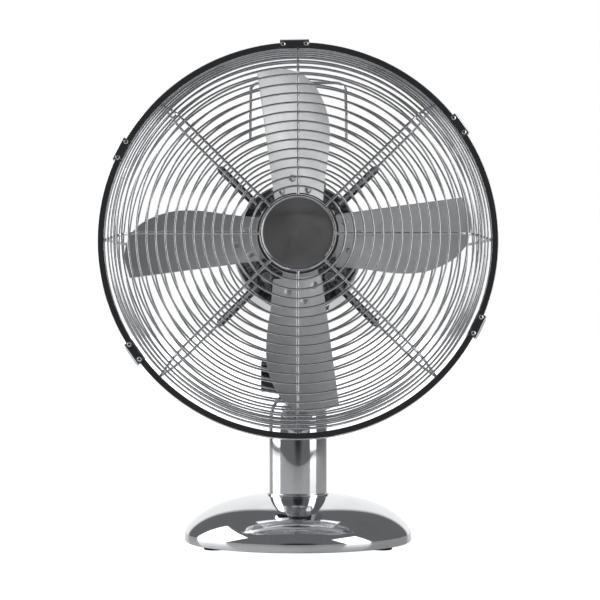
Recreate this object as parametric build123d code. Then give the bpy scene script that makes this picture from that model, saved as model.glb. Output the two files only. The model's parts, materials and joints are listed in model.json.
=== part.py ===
"""Oscillating desk fan, 300 mm blades, built as separate physical pieces, in millimetres.

Row frame: +Z up, -Y towards whoever the fan blows at, origin on the table under the middle of the base.
The head is drawn in its own frame, with its origin on the rotor axis in the plane of the cage's rim,
+Y backwards along the rotor axis and +Z up. place_head() then tips it back about the tilt bolt.
"""

import math
import os

from build123d import *

# ---- base ----
FOOT_HEIGHT = 3.4
FOOT_RADIUS = 9.0
FOOT_X, FOOT_Y = 74.0, 46.0
BASE_RADIUS = 102.0
BAND_BOTTOM = 3.2
BAND_HEIGHT = 7.4
DOME_RISE = 34.4
DOME_FLATNESS = 2.85
DOME_SHOULDER = 0.704
SHEET = 1.2
COLUMN_RADIUS = 26.2
COLUMN_WALL = 1.5
COLUMN_BOTTOM = 44.8
COLUMN_TOP = 108.0
CAP_TOP = 133.0
CAP_NECK_RADIUS = 17.5
CAP_SHOULDER = (25.2, 120.0)
GLAND_HEIGHT = 9.6
GLAND_BORE = 3.2
SWITCH_HEIGHT = 76.0

# ---- head pose ----
TILT = 7.0
PIVOT_HEIGHT = 150.6
SWIVEL_BACK = 75.0
HEAD_RISE = 114.0

KNOB_RADIUS = 14.0
KNOB_GROOVES = 12

# ---- cage ----
RIM_RADIUS = 175.0
RING_WIRE = 0.9
SPOKE_WIRE = 1.2
RIM_WIRE = 2.0
WELD_GAP = 0.02
SPOKES = 8
FIRST_RING = 40.6
RING_PITCH = 8.1
REAR_FIRST_RING = 2
FLAT_RINGS = 12
SIDE_START = 11.3
SIDE_RINGS = 7
FRONT_SIDE_PITCH = 6.9
REAR_SIDE_PITCH = 6.15
SHOULDER_RADIUS = 24.0
SPOKE_CORNER = 148.1
SPOKE_END = (168.7, 1.15)
FRONT_DEPTH = 41.9
REAR_DEPTH = 35.9
MOUNT_Y = REAR_DEPTH + SPOKE_WIRE + 2 * RING_WIRE + 2 * WELD_GAP
CLIPS = ((91.0, 12.8), (35.5, 10.4), (334.0, 10.4), (215.0, 10.4), (153.0, 10.4))
LOCK_ANGLE = 279.0
HANDLE_WIRE = 1.5
HANDLE_HALF = 43.0
HANDLE_REACH = 22.0

# ---- rotor ----
BLADES = 4
BLADE_TIP = 152.4
BLADE_SHEET = 1.2
BLADE_PLANE = -4.0
SHAFT_RADIUS = 4.0
RUNNING = 0.04
SHAFT_FRONT, SHAFT_REAR = -22.0, 145.0

# ---- motor ----
MOUNT_PLATE = 1.5
MOTOR_FRONT = 44.0
STATOR_FRONT, STATOR_REAR = 62.0, 92.0
STATOR_RADIUS = 42.0
ROTOR_RADIUS = 22.0
AIR_GAP = 0.4
REAR_BELL = 103.0
COVER_RADIUS = 58.0
COVER_SHOULDER = 122.0
COVER_REAR = 177.0
COVER_SHEET = 1.5
LUG_BACK = 9.0
BRACKET_BOTTOM = -58.0
BRACKET_SCREW_X, BRACKET_SCREW_Y = 8.5, 97.0

# ---- oscillation gears ----
GEAR_MODULE = 0.8
WORM_TEETH = 36
PINION_TEETH = 8
CRANK_TEETH = 32
WORM_PITCH_RADIUS = 3.9
GEARBOX_Y = 128.0
WHEEL_X = WORM_PITCH_RADIUS + GEAR_MODULE * WORM_TEETH / 2 + 0.1
CRANK_X = WHEEL_X - GEAR_MODULE * (PINION_TEETH + CRANK_TEETH) / 2 - 0.15
CRANK_THROW = 9.0
LINK_POST_X = 14.0
GEAR_FLOOR = -56.0
ROD_BOTTOM = -36.0


def place_head(shape):
    """Carries a shape from the head's frame to the row frame, tipped back by TILT about the tilt bolt."""
    return Pos(0, 0, PIVOT_HEIGHT) * Rot(-TILT, 0, 0) * Pos(0, -SWIVEL_BACK, HEAD_RISE) * shape


def turned(shape, angle):
    """Turns a shape about the rotor axis, anticlockwise as seen from the front."""
    return Rot(0, -angle, 0) * shape


def along_y(radius, start, end, x=0.0, z=0.0):
    """A round bar along Y from start to end."""
    return Pos(x, (start + end) / 2, z) * Rot(90, 0, 0) * Cylinder(radius, abs(end - start))


def along_x(radius, start, end, y=0.0, z=0.0):
    """A round bar along X from start to end."""
    return Pos((start + end) / 2, y, z) * Rot(0, 90, 0) * Cylinder(radius, abs(end - start))


def upright(radius, bottom, top, x=0.0, y=0.0):
    """A round bar along Z from bottom to top."""
    return Pos(x, y, (bottom + top) / 2) * Cylinder(radius, top - bottom)


def block(x0, x1, y0, y1, z0, z1):
    """A box given by its six faces."""
    return Pos((x0 + x1) / 2, (y0 + y1) / 2, (z0 + z1) / 2) * Box(x1 - x0, y1 - y0, z1 - z0)


def spun_about_y(points):
    """Revolves an outline of (radius, y) points about the Y axis."""
    face = make_face(Polyline(*[(r, y, 0) for r, y in points], close=True))
    return revolve(face, Axis.Y, 360)


def spun_about_z(edges):
    """Revolves a closed outline in the XZ plane about the Z axis."""
    return revolve(make_face(edges), Axis.Z, 360)


# ---------------------------------------------------------------- base


def dome_height(radius, inset=0.0):
    """Height of the base's domed skin at a radius, lowered by inset."""
    share = max(0.0, 1 - (radius / (BASE_RADIUS - inset)) ** DOME_FLATNESS)
    return BAND_BOTTOM + BAND_HEIGHT - inset + DOME_RISE * share**DOME_SHOULDER


def dome_solid(inset):
    """The solid under the dome, brought in by inset on every side."""
    radius = BASE_RADIUS - inset
    shares = (0.0, 0.3, 0.5, 0.66, 0.8, 0.9, 0.965, 1.0)
    points = [(radius * s, 0, dome_height(radius * s, inset)) for s in shares]
    skin = Spline(*points, tangents=[(1, 0, 0), (0, 0, -1)])
    sides = Polyline((radius, 0, points[-1][2]), (radius, 0, BAND_BOTTOM), (0, 0, BAND_BOTTOM), points[0])
    return spun_about_z(skin + sides)


def base_cover():
    """Pressed and plated domed cover with a short upright band, open below."""
    shell = dome_solid(0.0) - dome_solid(SHEET)
    for x, y in column_screw_places():
        shell -= upright(2.55, 30, 60, x, y)
    shell -= upright(9.0, 30, 60)
    shell -= along_y(4.5, 92, 112, z=GLAND_HEIGHT)
    return shell


def base_plate():
    """Flat plate that closes the base from below."""
    plate = upright(BASE_RADIUS - SHEET - 0.3, FOOT_HEIGHT, FOOT_HEIGHT + 2.0)
    for x, y in foot_places():
        plate -= upright(2.0, 0, 10, x, y)
    return plate - along_y(5.4, 86, 112, z=GLAND_HEIGHT)


def base_weight():
    """Cast ring that keeps the fan from tipping."""
    ring = upright(84.0, FOOT_HEIGHT + 2.1, 15.0) - upright(34.0, 0, 30)
    for x, y in foot_places():
        ring -= upright(11.0, 0, 30, x, y)
    return ring - along_y(8.0, 60, 100, z=GLAND_HEIGHT)


def foot_places():
    """Where the four feet stand."""
    return [(sx * FOOT_X, sy * FOOT_Y) for sx in (-1, 1) for sy in (-1, 1)]


def rubber_feet():
    """Four turned rubber feet, each with a recess for its screw."""
    foot = upright(FOOT_RADIUS, 0, FOOT_HEIGHT)
    foot = chamfer(foot.edges().group_by(Axis.Z)[0], 0.6)
    foot -= upright(4.2, -1, 1.6) + upright(2.0, -1, 5)
    return Compound([Pos(x, y, 0) * foot for x, y in foot_places()])


def column_screw_places():
    """Three screws between the dome and the column's socket."""
    return [(14 * math.cos(math.radians(a)), 14 * math.sin(math.radians(a))) for a in (90, 210, 330)]


def column_tube():
    """Plated steel column, with a hole at the back for the switch."""
    tube = upright(COLUMN_RADIUS, COLUMN_BOTTOM, COLUMN_TOP)
    tube -= upright(COLUMN_RADIUS - COLUMN_WALL, 0, 200)
    return tube - along_y(4.6, 10, 40, z=SWITCH_HEIGHT)


def column_socket():
    """Steel cup inside the column's foot, bolted through the dome."""
    outer = COLUMN_RADIUS - COLUMN_WALL - 0.02
    cup = upright(outer, 45.1, 60) - upright(outer - 2.5, 49.1, 61) - upright(9.0, 40, 50)
    for x, y in column_screw_places():
        cup -= upright(2.48, 40, 52, x, y)
    return cup


def base_screws():
    """Four screws up through the feet, and three through the dome into the column's socket."""
    foot_screw = upright(4.0, 0.5, 1.6) + upright(1.98, 1.5, 9.0)
    column_screw = upright(2.48, 43.4, 51.0) + upright(4.5, 40.2, 43.55)
    screws = [Pos(x, y, 0) * foot_screw for x, y in foot_places()]
    screws += [Pos(x, y, 0) * column_screw for x, y in column_screw_places()]
    return Compound(screws)


def tilt_yoke():
    """Domed cap on the column with the two ears that hold the tilt bolt."""
    start = (COLUMN_RADIUS, 0, COLUMN_TOP + 0.05)
    end = (CAP_NECK_RADIUS, 0, CAP_TOP)
    side = Spline(start, (CAP_SHOULDER[0], 0, CAP_SHOULDER[1]), end, tangents=[(0, 0, 1), (-0.75, 0, 0.66)])
    lines = Polyline(end, (0, 0, CAP_TOP), (0, 0, start[2]), start)
    cap = spun_about_z(side + lines)
    cap += upright(COLUMN_RADIUS - COLUMN_WALL - 0.02, COLUMN_TOP - 12, COLUMN_TOP + 0.05)
    cap -= upright(21.5, COLUMN_TOP - 20, COLUMN_TOP + 4) + upright(8.0, COLUMN_TOP - 20, COLUMN_TOP + 18)
    ears = Part()
    for side_x in (-1, 1):
        x0, x1 = sorted((side_x * 8.25, side_x * 13.0))
        ear = block(x0, x1, -11.5, 11.5, CAP_TOP - 2, PIVOT_HEIGHT)
        ears += ear + along_x(11.5, x0, x1, z=PIVOT_HEIGHT)
    cap += ears
    cap -= along_x(11.9 + 1.2, -8.25, 8.25, z=PIVOT_HEIGHT)
    return cap - along_x(4.05, -20, 20, z=PIVOT_HEIGHT)


def tilt_bolt():
    """Bolt that the neck tips on, with its hexagon head on the right."""
    head = Rot(0, 90, 0) * extrude(RegularPolygon(7.0, 6), 5.0)
    bolt = Pos(13.05, 0, PIVOT_HEIGHT) * head
    return bolt + along_x(4.0, -25, 13.1, z=PIVOT_HEIGHT)


def tilt_knob():
    """Ribbed clamping knob on the left end of the tilt bolt."""
    knob = along_x(KNOB_RADIUS, -33.3, -17.5, z=PIVOT_HEIGHT)
    knob = chamfer(knob.edges().filter_by(GeomType.CIRCLE), 1.2)
    for i in range(KNOB_GROOVES):
        a = 2 * math.pi * i / KNOB_GROOVES
        y, z = 15.4 * math.cos(a), PIVOT_HEIGHT + 15.4 * math.sin(a)
        knob -= along_x(2.4, -40, -10, y=y, z=z)
    knob += along_x(8.5, -17.6, -13.1, z=PIVOT_HEIGHT)
    return knob - along_x(4.04, -26, -10, z=PIVOT_HEIGHT)


def cable_gland():
    """Bush where the mains lead enters the back of the base."""
    gland = along_y(4.45, 93.5, 105, z=GLAND_HEIGHT)
    gland += along_y(6.2, 102.4, 105, z=GLAND_HEIGHT)
    gland += along_y(5.3, 93.5, 97.6, z=GLAND_HEIGHT)
    return gland - along_y(GLAND_BORE, 80, 120, z=GLAND_HEIGHT)


def rotary_switch():
    """Four-position switch body inside the column, with its threaded nose in the wall."""
    body = block(-11, 11, 2, 20, SWITCH_HEIGHT - 11, SWITCH_HEIGHT + 11)
    nose = along_y(4.5, 19, 28.5, z=SWITCH_HEIGHT)
    tags = Part()
    for x in (-7, 0, 7):
        tags += block(x - 1.2, x + 1.2, -4, 2.1, SWITCH_HEIGHT - 4, SWITCH_HEIGHT - 3.2)
    return body + nose + tags - along_y(3.04, 5, 30, z=SWITCH_HEIGHT)


def switch_bezel():
    """Dial ring round the switch, shaped to the column."""
    ring = along_y(16.0, 19, 28.0, z=SWITCH_HEIGHT) - along_y(4.55, 10, 40, z=SWITCH_HEIGHT)
    return ring - upright(COLUMN_RADIUS + 0.03, 40, COLUMN_TOP)


def speed_knob():
    """Speed knob with a finger bar, and the switch's spindle that it turns."""
    knob = along_y(12.0, 28.6, 34.0, z=SWITCH_HEIGHT)
    knob += Pos(0, 38.0, SWITCH_HEIGHT) * Box(5.0, 9.0, 22.0)
    return knob + along_y(3.0, 9, 31, z=SWITCH_HEIGHT)


# ---------------------------------------------------------------- neck


def neck_bracket():
    """Tipping bracket: an eye on the tilt bolt, a bearing barrel, and the post for the link."""
    pivot_z = -HEAD_RISE
    eye = along_x(11.5, -8.1, 8.1, y=SWIVEL_BACK, z=pivot_z)
    stem = block(-8.1, 8.1, SWIVEL_BACK - 9, SWIVEL_BACK + 9, pivot_z, -90)
    barrel = upright(18.0, -94, -72, 0, SWIVEL_BACK)
    post = upright(2.5, -73, -65.5, LINK_POST_X, SWIVEL_BACK)
    bracket = eye + stem + fillet(barrel.edges().group_by(Axis.Z)[0], 3.0) + post
    bracket -= along_x(4.05, -20, 20, y=SWIVEL_BACK, z=pivot_z)
    return bracket - upright(8.0, -92, -60, 0, SWIVEL_BACK)


def swivel_bush():
    """Bronze bush pressed into the neck, that the head turns in."""
    bush = upright(8.0, -91, -72.1, 0, SWIVEL_BACK)
    return bush - upright(6.0 + RUNNING, -100, -60, 0, SWIVEL_BACK)


def link_arm():
    """Flat steel link from the neck's post to the crank, open at its crank end."""
    crank = (CRANK_X + CRANK_THROW, GEARBOX_Y)
    post = (LINK_POST_X, SWIVEL_BACK)
    length = math.hypot(crank[0] - post[0], crank[1] - post[1])
    angle = math.degrees(math.atan2(crank[1] - post[1], crank[0] - post[0]))
    bar = Pos(length / 2, 0, 0) * Box(length, 5, 2.2) + Cylinder(5, 2.2) + Pos(length, 0, 0) * Cylinder(5, 2.2)
    bar -= Cylinder(2.5 + RUNNING, 5) + Pos(length, 0, 0) * Cylinder(2.3, 5)
    return Pos(post[0], post[1], -68.0) * Rot(0, 0, angle) * bar


# ---------------------------------------------------------------- cage


def spoke_path(side):
    """Centre line of a spoke in the (radius, y) plane: side is -1 for the front guard, 1 for the rear."""
    depth = FRONT_DEPTH if side < 0 else REAR_DEPTH
    inner = 30.5 if side < 0 else 52.0
    start = (inner, side * depth)
    corner = (SPOKE_CORNER, side * depth)
    end = (SPOKE_END[0], side * SPOKE_END[1])
    return FilletPolyline(start, corner, end, radius=SHOULDER_RADIUS)


def beside_path(path, side, distance, offset):
    """A (radius, y) point beside the spoke: distance along it from its outer end, offset outwards."""
    share = 1 - distance / path.length
    at, along = path.position_at(share), path.tangent_at(share)
    return at.X + offset * abs(along.Y), at.Y + offset * side * abs(along.X)


def wire_ring(radius, y, wire):
    """A closed ring of round wire about the rotor axis."""
    return Pos(0, y, 0) * Rot(90, 0, 0) * Torus(radius, wire)


def guard_rings(side):
    """Concentric rings on the flat, shoulder and side of a guard, and the thick ring at its rim."""
    depth = (FRONT_DEPTH if side < 0 else REAR_DEPTH) + SPOKE_WIRE + RING_WIRE + WELD_GAP
    first = 0 if side < 0 else REAR_FIRST_RING
    rings = [wire_ring(FIRST_RING + RING_PITCH * i, side * depth, RING_WIRE) for i in range(first, FLAT_RINGS)]
    path = spoke_path(side)
    pitch = FRONT_SIDE_PITCH if side < 0 else REAR_SIDE_PITCH
    for i in range(SIDE_RINGS):
        r, y = beside_path(path, side, SIDE_START + pitch * i, SPOKE_WIRE + RING_WIRE + WELD_GAP)
        rings.append(wire_ring(r, y, RING_WIRE))
    r, y = beside_path(path, side, 0.0, SPOKE_WIRE + RIM_WIRE + WELD_GAP)
    rings.append(wire_ring(r, y, RIM_WIRE))
    return Compound(rings)


def guard_spokes(side):
    """Bent radial wires of a guard."""
    path = spoke_path(side)
    section = Plane(path @ 0, z_dir=path % 0) * Circle(SPOKE_WIRE)
    spoke = sweep(section, path=path)
    return Compound([turned(spoke, 360 / SPOKES * i) for i in range(SPOKES)])


def guard_hub_plate():
    """Dished plate behind the front spokes that they are welded to."""
    front = -FRONT_DEPTH + SPOKE_WIRE + WELD_GAP
    return spun_about_y([(3.0, front), (35.4, front), (35.4, front + 3.0), (33.9, front + 3.0),
                         (33.9, front + 1.5), (3.0, front + 1.5)])


def badge_rim():
    """Bright turned ring round the badge, in front of the spokes."""
    back = -FRONT_DEPTH - SPOKE_WIRE - WELD_GAP
    return spun_about_y([(30.2, back), (33.2, back), (33.2, back - 3.2), (32.2, back - 5.2),
                         (31.2, back - 5.2), (30.2, back - 3.6)])


def badge_disc():
    """Brushed blank disc in the middle of the front guard."""
    back = -FRONT_DEPTH - SPOKE_WIRE - WELD_GAP
    return spun_about_y([(0, back), (30.15, back), (30.15, back - 3.4), (0, back - 4.0)])


def rear_mount_plate():
    """Plate with four flat arms that carries the rear guard on the motor."""
    y0 = MOUNT_Y
    plate = along_y(50.0, y0, y0 + MOUNT_PLATE)
    for i in range(4):
        arm = block(40, 97, y0, y0 + MOUNT_PLATE, -3.5, 3.5) + along_y(3.5, y0, y0 + MOUNT_PLATE, x=97)
        plate += turned(arm, 45 + 90 * i)
    plate -= along_y(20.0, y0 - 5, y0 + 9)
    for i in range(4):
        plate -= turned(along_y(2.4, y0 - 5, y0 + 9, x=40.0), 45 + 90 * i)
    return plate


def guard_screws():
    """Screw behind the badge, and four through the mount plate into the motor's front bell."""
    front = -FRONT_DEPTH + SPOKE_WIRE + WELD_GAP
    badge_screw = along_y(2.9, -FRONT_DEPTH - SPOKE_WIRE, front + 1.55)
    badge_screw += along_y(6.0, front + 1.55, front + 4.2)
    screw = along_y(2.35, MOUNT_Y - 0.1, MOTOR_FRONT + 3.5, x=40.0)
    screw += fillet(along_y(4.6, MOUNT_Y - 3.0, MOUNT_Y - 0.02, x=40.0).edges().group_by(Axis.Y)[0], 1.2)
    return Compound([badge_screw] + [turned(screw, 45 + 90 * i) for i in range(4)])


def carry_handle():
    """Wire handle welded behind the top of the rear guard, bent back to leave room for fingers."""
    y = MOUNT_Y + HANDLE_WIRE
    back = y + HANDLE_REACH
    left = [(-HANDLE_HALF, y, 96.0), (-HANDLE_HALF, y, 120.0), (-HANDLE_HALF, back, 153.0)]
    right = [(-x, at_y, z) for x, at_y, z in reversed(left)]
    path = FilletPolyline(*left, *right, radius=11.0)
    return sweep(Plane(path @ 0, z_dir=path % 0) * Circle(HANDLE_WIRE), path=path)


def trim_band():
    """Plated channel that wraps both rims, split where its lock sits."""
    face, lip, sheet = 7.2, 169.2, 0.8
    band = spun_about_y([(lip, -face), (RIM_RADIUS, -face), (RIM_RADIUS, face), (lip, face), (lip, face - sheet),
                         (RIM_RADIUS - sheet, face - sheet), (RIM_RADIUS - sheet, sheet - face),
                         (lip, sheet - face)])
    return band - turned(block(150, 190, -20, 20, -0.5, 0.5), LOCK_ANGLE)


def rim_lock():
    """Bridge and screw that close the split of the trim band."""
    bridge = block(169.4, 174.6, -8.2, -7.22, -4.2, 4.2)
    screw = Pos(171.9, -8.2, 1.8) * Rot(90, 0, 0) * extrude(Circle(2.0), 1.4)
    nub = Pos(171.9, -8.2, -2.2) * Rot(90, 0, 0) * extrude(Circle(1.2), 0.7)
    return turned(bridge + screw + nub, LOCK_ANGLE)


CLIP_PIN = (176.6, 9.7)


def rim_clip(half):
    """Over-centre clip of a given half width, in the place at the top of the rim."""
    pin_z, pin_y = CLIP_PIN
    eye = half - 4.4
    clip = block(-half, half, -8.9, 6.4, 176.3, 177.3)
    clip += block(-eye, eye, 6.3, pin_y, 176.3, 177.3)
    clip += block(-half, half, -8.9, -7.9, 168.4, 177.3)
    clip += block(-half, half, -10.0, -8.8, 168.4, 169.4)
    clip += along_x(1.9, -eye, eye, y=pin_y, z=pin_z)
    for x in (2.6 - half, half - 2.6):
        clip += along_y(2.0, -9.55, -8.8, x=x, z=173.0)
    return clip - along_x(0.9 + RUNNING, -20, 20, y=pin_y, z=pin_z)


def clip_hinge(half):
    """Hinge bracket of one clip with its pin, on the back of the trim band."""
    pin_z, pin_y = CLIP_PIN
    outer = half - 1.0
    hinge = block(-outer, outer, 7.22, 7.95, 169.6, 174.3)
    for x0 in (-outer, outer - 3.2):
        hinge += block(x0, x0 + 3.2, 7.22, pin_y + 1.9, 172.6, pin_z)
        hinge += along_x(1.9, x0, x0 + 3.2, y=pin_y, z=pin_z)
    hinge += along_x(0.9, -outer, outer, y=pin_y, z=pin_z)
    for x in (-half / 2, half / 2):
        hinge += along_y(1.6, 7.8, 8.6, x=x, z=172.0)
    return hinge


def clip_hinges():
    """The five hinge brackets round the rim."""
    return Compound([turned(clip_hinge(half), angle - 90) for angle, half in CLIPS])


# ---------------------------------------------------------------- rotor


def blade_pitch(radius):
    """Pitch of the blade against the plane of rotation, in degrees."""
    return 34.0 - 14.0 * (radius - 40.0) / 110.0


def blade_sheet(behind, thickness, low, high):
    """Twisted cambered sheet along +Z, from behind to behind + thickness behind the blade's front face."""
    sections = []
    for radius in (low, (low + high) / 2, high):
        slope = math.tan(math.radians(blade_pitch(radius)))
        front = []
        for x in (-48.0, 0.0, 44.0):
            camber = -4.0 * (1 - (x / 46.0) ** 2)
            front.append((x, BLADE_PLANE + behind + slope * x - camber))
        back = [(x, y + thickness / math.cos(math.radians(blade_pitch(radius)))) for x, y in front]
        at = [(x, y, radius) for x, y in front + back]
        edges = ThreePointArc(at[0], at[1], at[2]) + Line(at[2], at[5])
        edges += ThreePointArc(at[5], at[4], at[3]) + Line(at[3], at[0])
        sections.append(make_face(edges))
    return loft(sections)


def blade_outline():
    """The blade's outline seen from the front: straight trailing edge, full leading edge."""
    trailing = Polyline((-19.5, 33.0), (-21.5, 45.0), (-35.2, 146.0))
    tip = ThreePointArc((-35.2, 146.0), (-15.0, BLADE_TIP - 0.9), (4.0, 148.5))
    leading = Spline((4.0, 148.5), (17.0, 135.5), (26.5, 113.0), (28.0, 88.0), (24.0, 56.0), (22.0, 33.0))
    root = Line((22.0, 33.0), (-19.5, 33.0))
    return make_face(trailing + tip + leading + root)


def rivet_places():
    """Rivets of one blade as (x, radius)."""
    return [(-5.0, 54.0), (9.0, 45.0), (-14.0, 41.0)]


def rivet_axis(x, radius, length, bore):
    """A bar square to the blade at a rivet, centred in the two sheets."""
    slope = blade_pitch(radius)
    camber = -4.0 * (1 - (x / 46.0) ** 2)
    y = BLADE_PLANE + math.tan(math.radians(slope)) * x - camber + 1.6
    return Pos(x, y, radius) * Rot(0, 0, slope) * Rot(90, 0, 0) * Cylinder(bore, length)


def fan_blade(index):
    """One pressed aluminium blade."""
    sheet = blade_sheet(0.0, BLADE_SHEET, 28.0, BLADE_TIP + 4)
    outline = extrude(Plane.XZ * blade_outline(), 60, both=True)
    blade = sheet & outline
    for x, radius in rivet_places():
        blade -= rivet_axis(x, radius, 12, 1.8)
    return turned(blade, -90 * index)


def blade_spider():
    """Hub with four twisted arms that the blades are riveted to."""
    arm_face = make_face(Polyline((-15, 12), (-19, 40), (-10, 60), (4, 60), (14, 48), (13, 12), close=True))
    arm = blade_sheet(BLADE_SHEET + 0.35, 1.6, 8.0, 66.0) & extrude(Plane.XZ * arm_face, 60, both=True)
    for x, radius in rivet_places():
        arm -= rivet_axis(x, radius, 12, 1.8)
    spider = along_y(17.0, -16, 14)
    for index in range(BLADES):
        spider += turned(arm, -90 * index)
    spider -= along_y(SHAFT_RADIUS + 0.01, -40, 40)
    return spider - upright(2.5, 0, 30)


def hub_set_screw():
    """Grub screw that locks the hub to the shaft's flat."""
    return upright(2.48, SHAFT_RADIUS + 0.05, 16.5)


def blade_rivets():
    """Three dome-headed rivets for each blade."""
    rivets = []
    for index in range(BLADES):
        for x, radius in rivet_places():
            shank = rivet_axis(x, radius, 5.4, 1.79)
            slope = blade_pitch(radius)
            camber = -4.0 * (1 - (x / 46.0) ** 2)
            y = BLADE_PLANE + math.tan(math.radians(slope)) * x - camber
            head = Pos(x, y, radius) * Rot(0, 0, slope) * Pos(0, -1.0, 0) * Rot(90, 0, 0) * Cone(3.1, 1.6, 1.5)
            rivets.append(turned(shank + head, -90 * index))
    return Compound(rivets)


def rotor_shaft():
    """Steel shaft, with the worm cut into its rear end."""
    shaft = along_y(SHAFT_RADIUS, SHAFT_FRONT, 115.0)
    shaft += along_y(WORM_PITCH_RADIUS - 0.8, 114.9, SHAFT_REAR)
    pitch = math.pi * GEAR_MODULE
    turns = 8
    height = pitch * turns
    start = GEARBOX_Y - height / 2
    root = WORM_PITCH_RADIUS - 0.9
    spiral = Helix(pitch, height, root, center=(0, 0, 0), direction=(0, 0, 1))
    tooth = Polyline((root, 0, -0.62), (root + 1.45, 0, -0.3), (root + 1.45, 0, 0.3), (root, 0, 0.62), close=True)
    thread = sweep(make_face(tooth), path=spiral, is_frenet=True)
    return shaft + Pos(0, start, 0) * Rot(-90, 0, 0) * thread


def rotor_core():
    """Laminated rotor with its end rings."""
    core = along_y(ROTOR_RADIUS, STATOR_FRONT, STATOR_REAR)
    core += along_y(18.0, STATOR_FRONT - 4, STATOR_REAR + 4)
    return core - along_y(SHAFT_RADIUS + 0.01, 40, 120)


# ---------------------------------------------------------------- motor


def motor_front_bell():
    """Die-cast front bell: flange, bearing boss and stator cup."""
    y0 = MOTOR_FRONT
    bell = spun_about_y([(8.0, y0 - 2), (12.5, y0 - 2), (12.5, y0), (56.0, y0), (56.0, y0 + 3), (46.0, y0 + 3),
                         (46.0, STATOR_FRONT + 10), (STATOR_RADIUS + 0.02, STATOR_FRONT + 10),
                         (STATOR_RADIUS + 0.02, STATOR_FRONT), (STATOR_RADIUS - 2, STATOR_FRONT),
                         (STATOR_RADIUS - 2, y0 + 3), (12.5, y0 + 3), (12.5, y0 + 11), (8.0, y0 + 11)])
    for i in range(4):
        bell -= turned(along_y(2.36, 30, 60, x=40.0), 45 + 90 * i)
        bell -= turned(along_y(2.0, 30, 60, x=51.0), 45 + 90 * i)
    for i in range(8):
        bell -= turned(block(20, 34, y0 - 1, y0 + 4, -2.5, 2.5), 22.5 + 45 * i)
    pad = MOUNT_Y + MOUNT_PLATE + 0.02
    for i in range(4):
        boss = along_y(6.0, pad, y0 + 0.1, x=40.0) - along_y(2.36, 30, 60, x=40.0)
        bell += turned(boss, 45 + 90 * i)
    lug = block(46.1, 56.1, y0 + 2.9, y0 + 14, -5, 5) - along_x(1.7, 40, 62, y=y0 + LUG_BACK)
    for i in (0, 2):
        bell += turned(lug, 90 * i)
    return bell


def motor_rear_bell():
    """Die-cast rear bell with the rear bearing boss, and the seat for the swivel bracket."""
    y0, y1 = REAR_BELL, REAR_BELL + 3
    bell = spun_about_y([(8.0, y0 - 3), (12.0, y0 - 3), (12.0, y0), (STATOR_RADIUS - 2, y0),
                         (STATOR_RADIUS - 2, STATOR_REAR), (STATOR_RADIUS + 0.02, STATOR_REAR),
                         (STATOR_RADIUS + 0.02, STATOR_REAR - 10), (46.0, STATOR_REAR - 10), (46.0, y0),
                         (55.0, y0), (55.0, y1), (12.0, y1), (12.0, y1 + 8), (8.0, y1 + 8)])
    for i in range(4):
        bell -= turned(along_y(2.0, 90, 120, x=51.0), 45 + 90 * i)
    for x in (-BRACKET_SCREW_X, BRACKET_SCREW_X):
        bell -= upright(2.02, -60, -42, x, BRACKET_SCREW_Y)
    return bell


def stator_core():
    """Laminated stator ring with its slots."""
    core = along_y(STATOR_RADIUS, STATOR_FRONT, STATOR_REAR)
    core -= along_y(ROTOR_RADIUS + AIR_GAP, 50, 110)
    for i in range(8):
        core -= turned(block(26, 35, 50, 110, -3.5, 3.5), 22.5 + 45 * i)
    return core


def stator_windings():
    """Copper end turns in front of and behind the stator."""
    turns = []
    for y0 in (STATOR_FRONT - 10.0, STATOR_REAR + 0.1):
        ring = along_y(37.0, y0, y0 + 9.9) - along_y(25.5, y0 - 1, y0 + 11)
        turns.append(fillet(ring.edges(), 2.5))
    return Compound(turns)


def motor_bearings():
    """Two bronze sleeve bearings."""
    front = along_y(8.0, MOTOR_FRONT, MOTOR_FRONT + 11) - along_y(SHAFT_RADIUS + RUNNING, 30, 80)
    rear = along_y(8.0, REAR_BELL, REAR_BELL + 11) - along_y(SHAFT_RADIUS + RUNNING, 90, 130)
    return Compound([front, rear])


def motor_bolts():
    """Four long bolts that clamp the bells on the stator."""
    bolt = along_y(1.98, MOTOR_FRONT, REAR_BELL + 3.05, x=51.0)
    head = Pos(51.0, REAR_BELL + 3.05, 0) * Rot(-90, 0, 0) * extrude(RegularPolygon(3.8, 6), 3.0)
    return Compound([turned(bolt + head, 45 + 90 * i) for i in range(4)])


def run_capacitor():
    """Motor-run capacitor on top of the rear bell."""
    body = block(-30, -4, 108, 124, 22, 44)
    body = fillet(body.edges().filter_by(Axis.X), 3.0)
    return body + block(-28, -6, 106.1, 108.1, 28, 34)


def motor_cover():
    """Plated rear shell over the motor, open below for the neck and slotted at the back."""
    def bullet(inset):
        radius, rear = COVER_RADIUS - inset, COVER_REAR - inset
        side = Line((radius, MOTOR_FRONT + 3.1, 0), (radius, COVER_SHOULDER, 0))
        nose = Spline((radius, COVER_SHOULDER, 0), (radius * 0.86, COVER_SHOULDER + 0.52 * (rear - COVER_SHOULDER), 0),
                      (radius * 0.5, COVER_SHOULDER + 0.87 * (rear - COVER_SHOULDER), 0), (0, rear, 0),
                      tangents=[(0, 1, 0), (-1, 0, 0)])
        ends = Polyline((0, rear, 0), (0, MOTOR_FRONT + 3.1, 0), (radius, MOTOR_FRONT + 3.1, 0))
        return revolve(make_face(side + nose + ends), Axis.Y, 360)
    shell = bullet(0.0) - bullet(COVER_SHEET)
    shell -= block(-20, 28, 58, 144, -70, -20)
    for i in range(9):
        half = math.sqrt(max(0.0, 34.0**2 - (8.0 * (i - 4)) ** 2))
        shell -= block(-half, half, 130, 190, 8.0 * (i - 4) - 1.5, 8.0 * (i - 4) + 1.5)
    shell -= upright(5.2, 20, 80, WHEEL_X, GEARBOX_Y)
    for i in (0, 2):
        shell -= turned(along_x(1.7, 50, 62, y=MOTOR_FRONT + LUG_BACK), 90 * i)
    return shell


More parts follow.
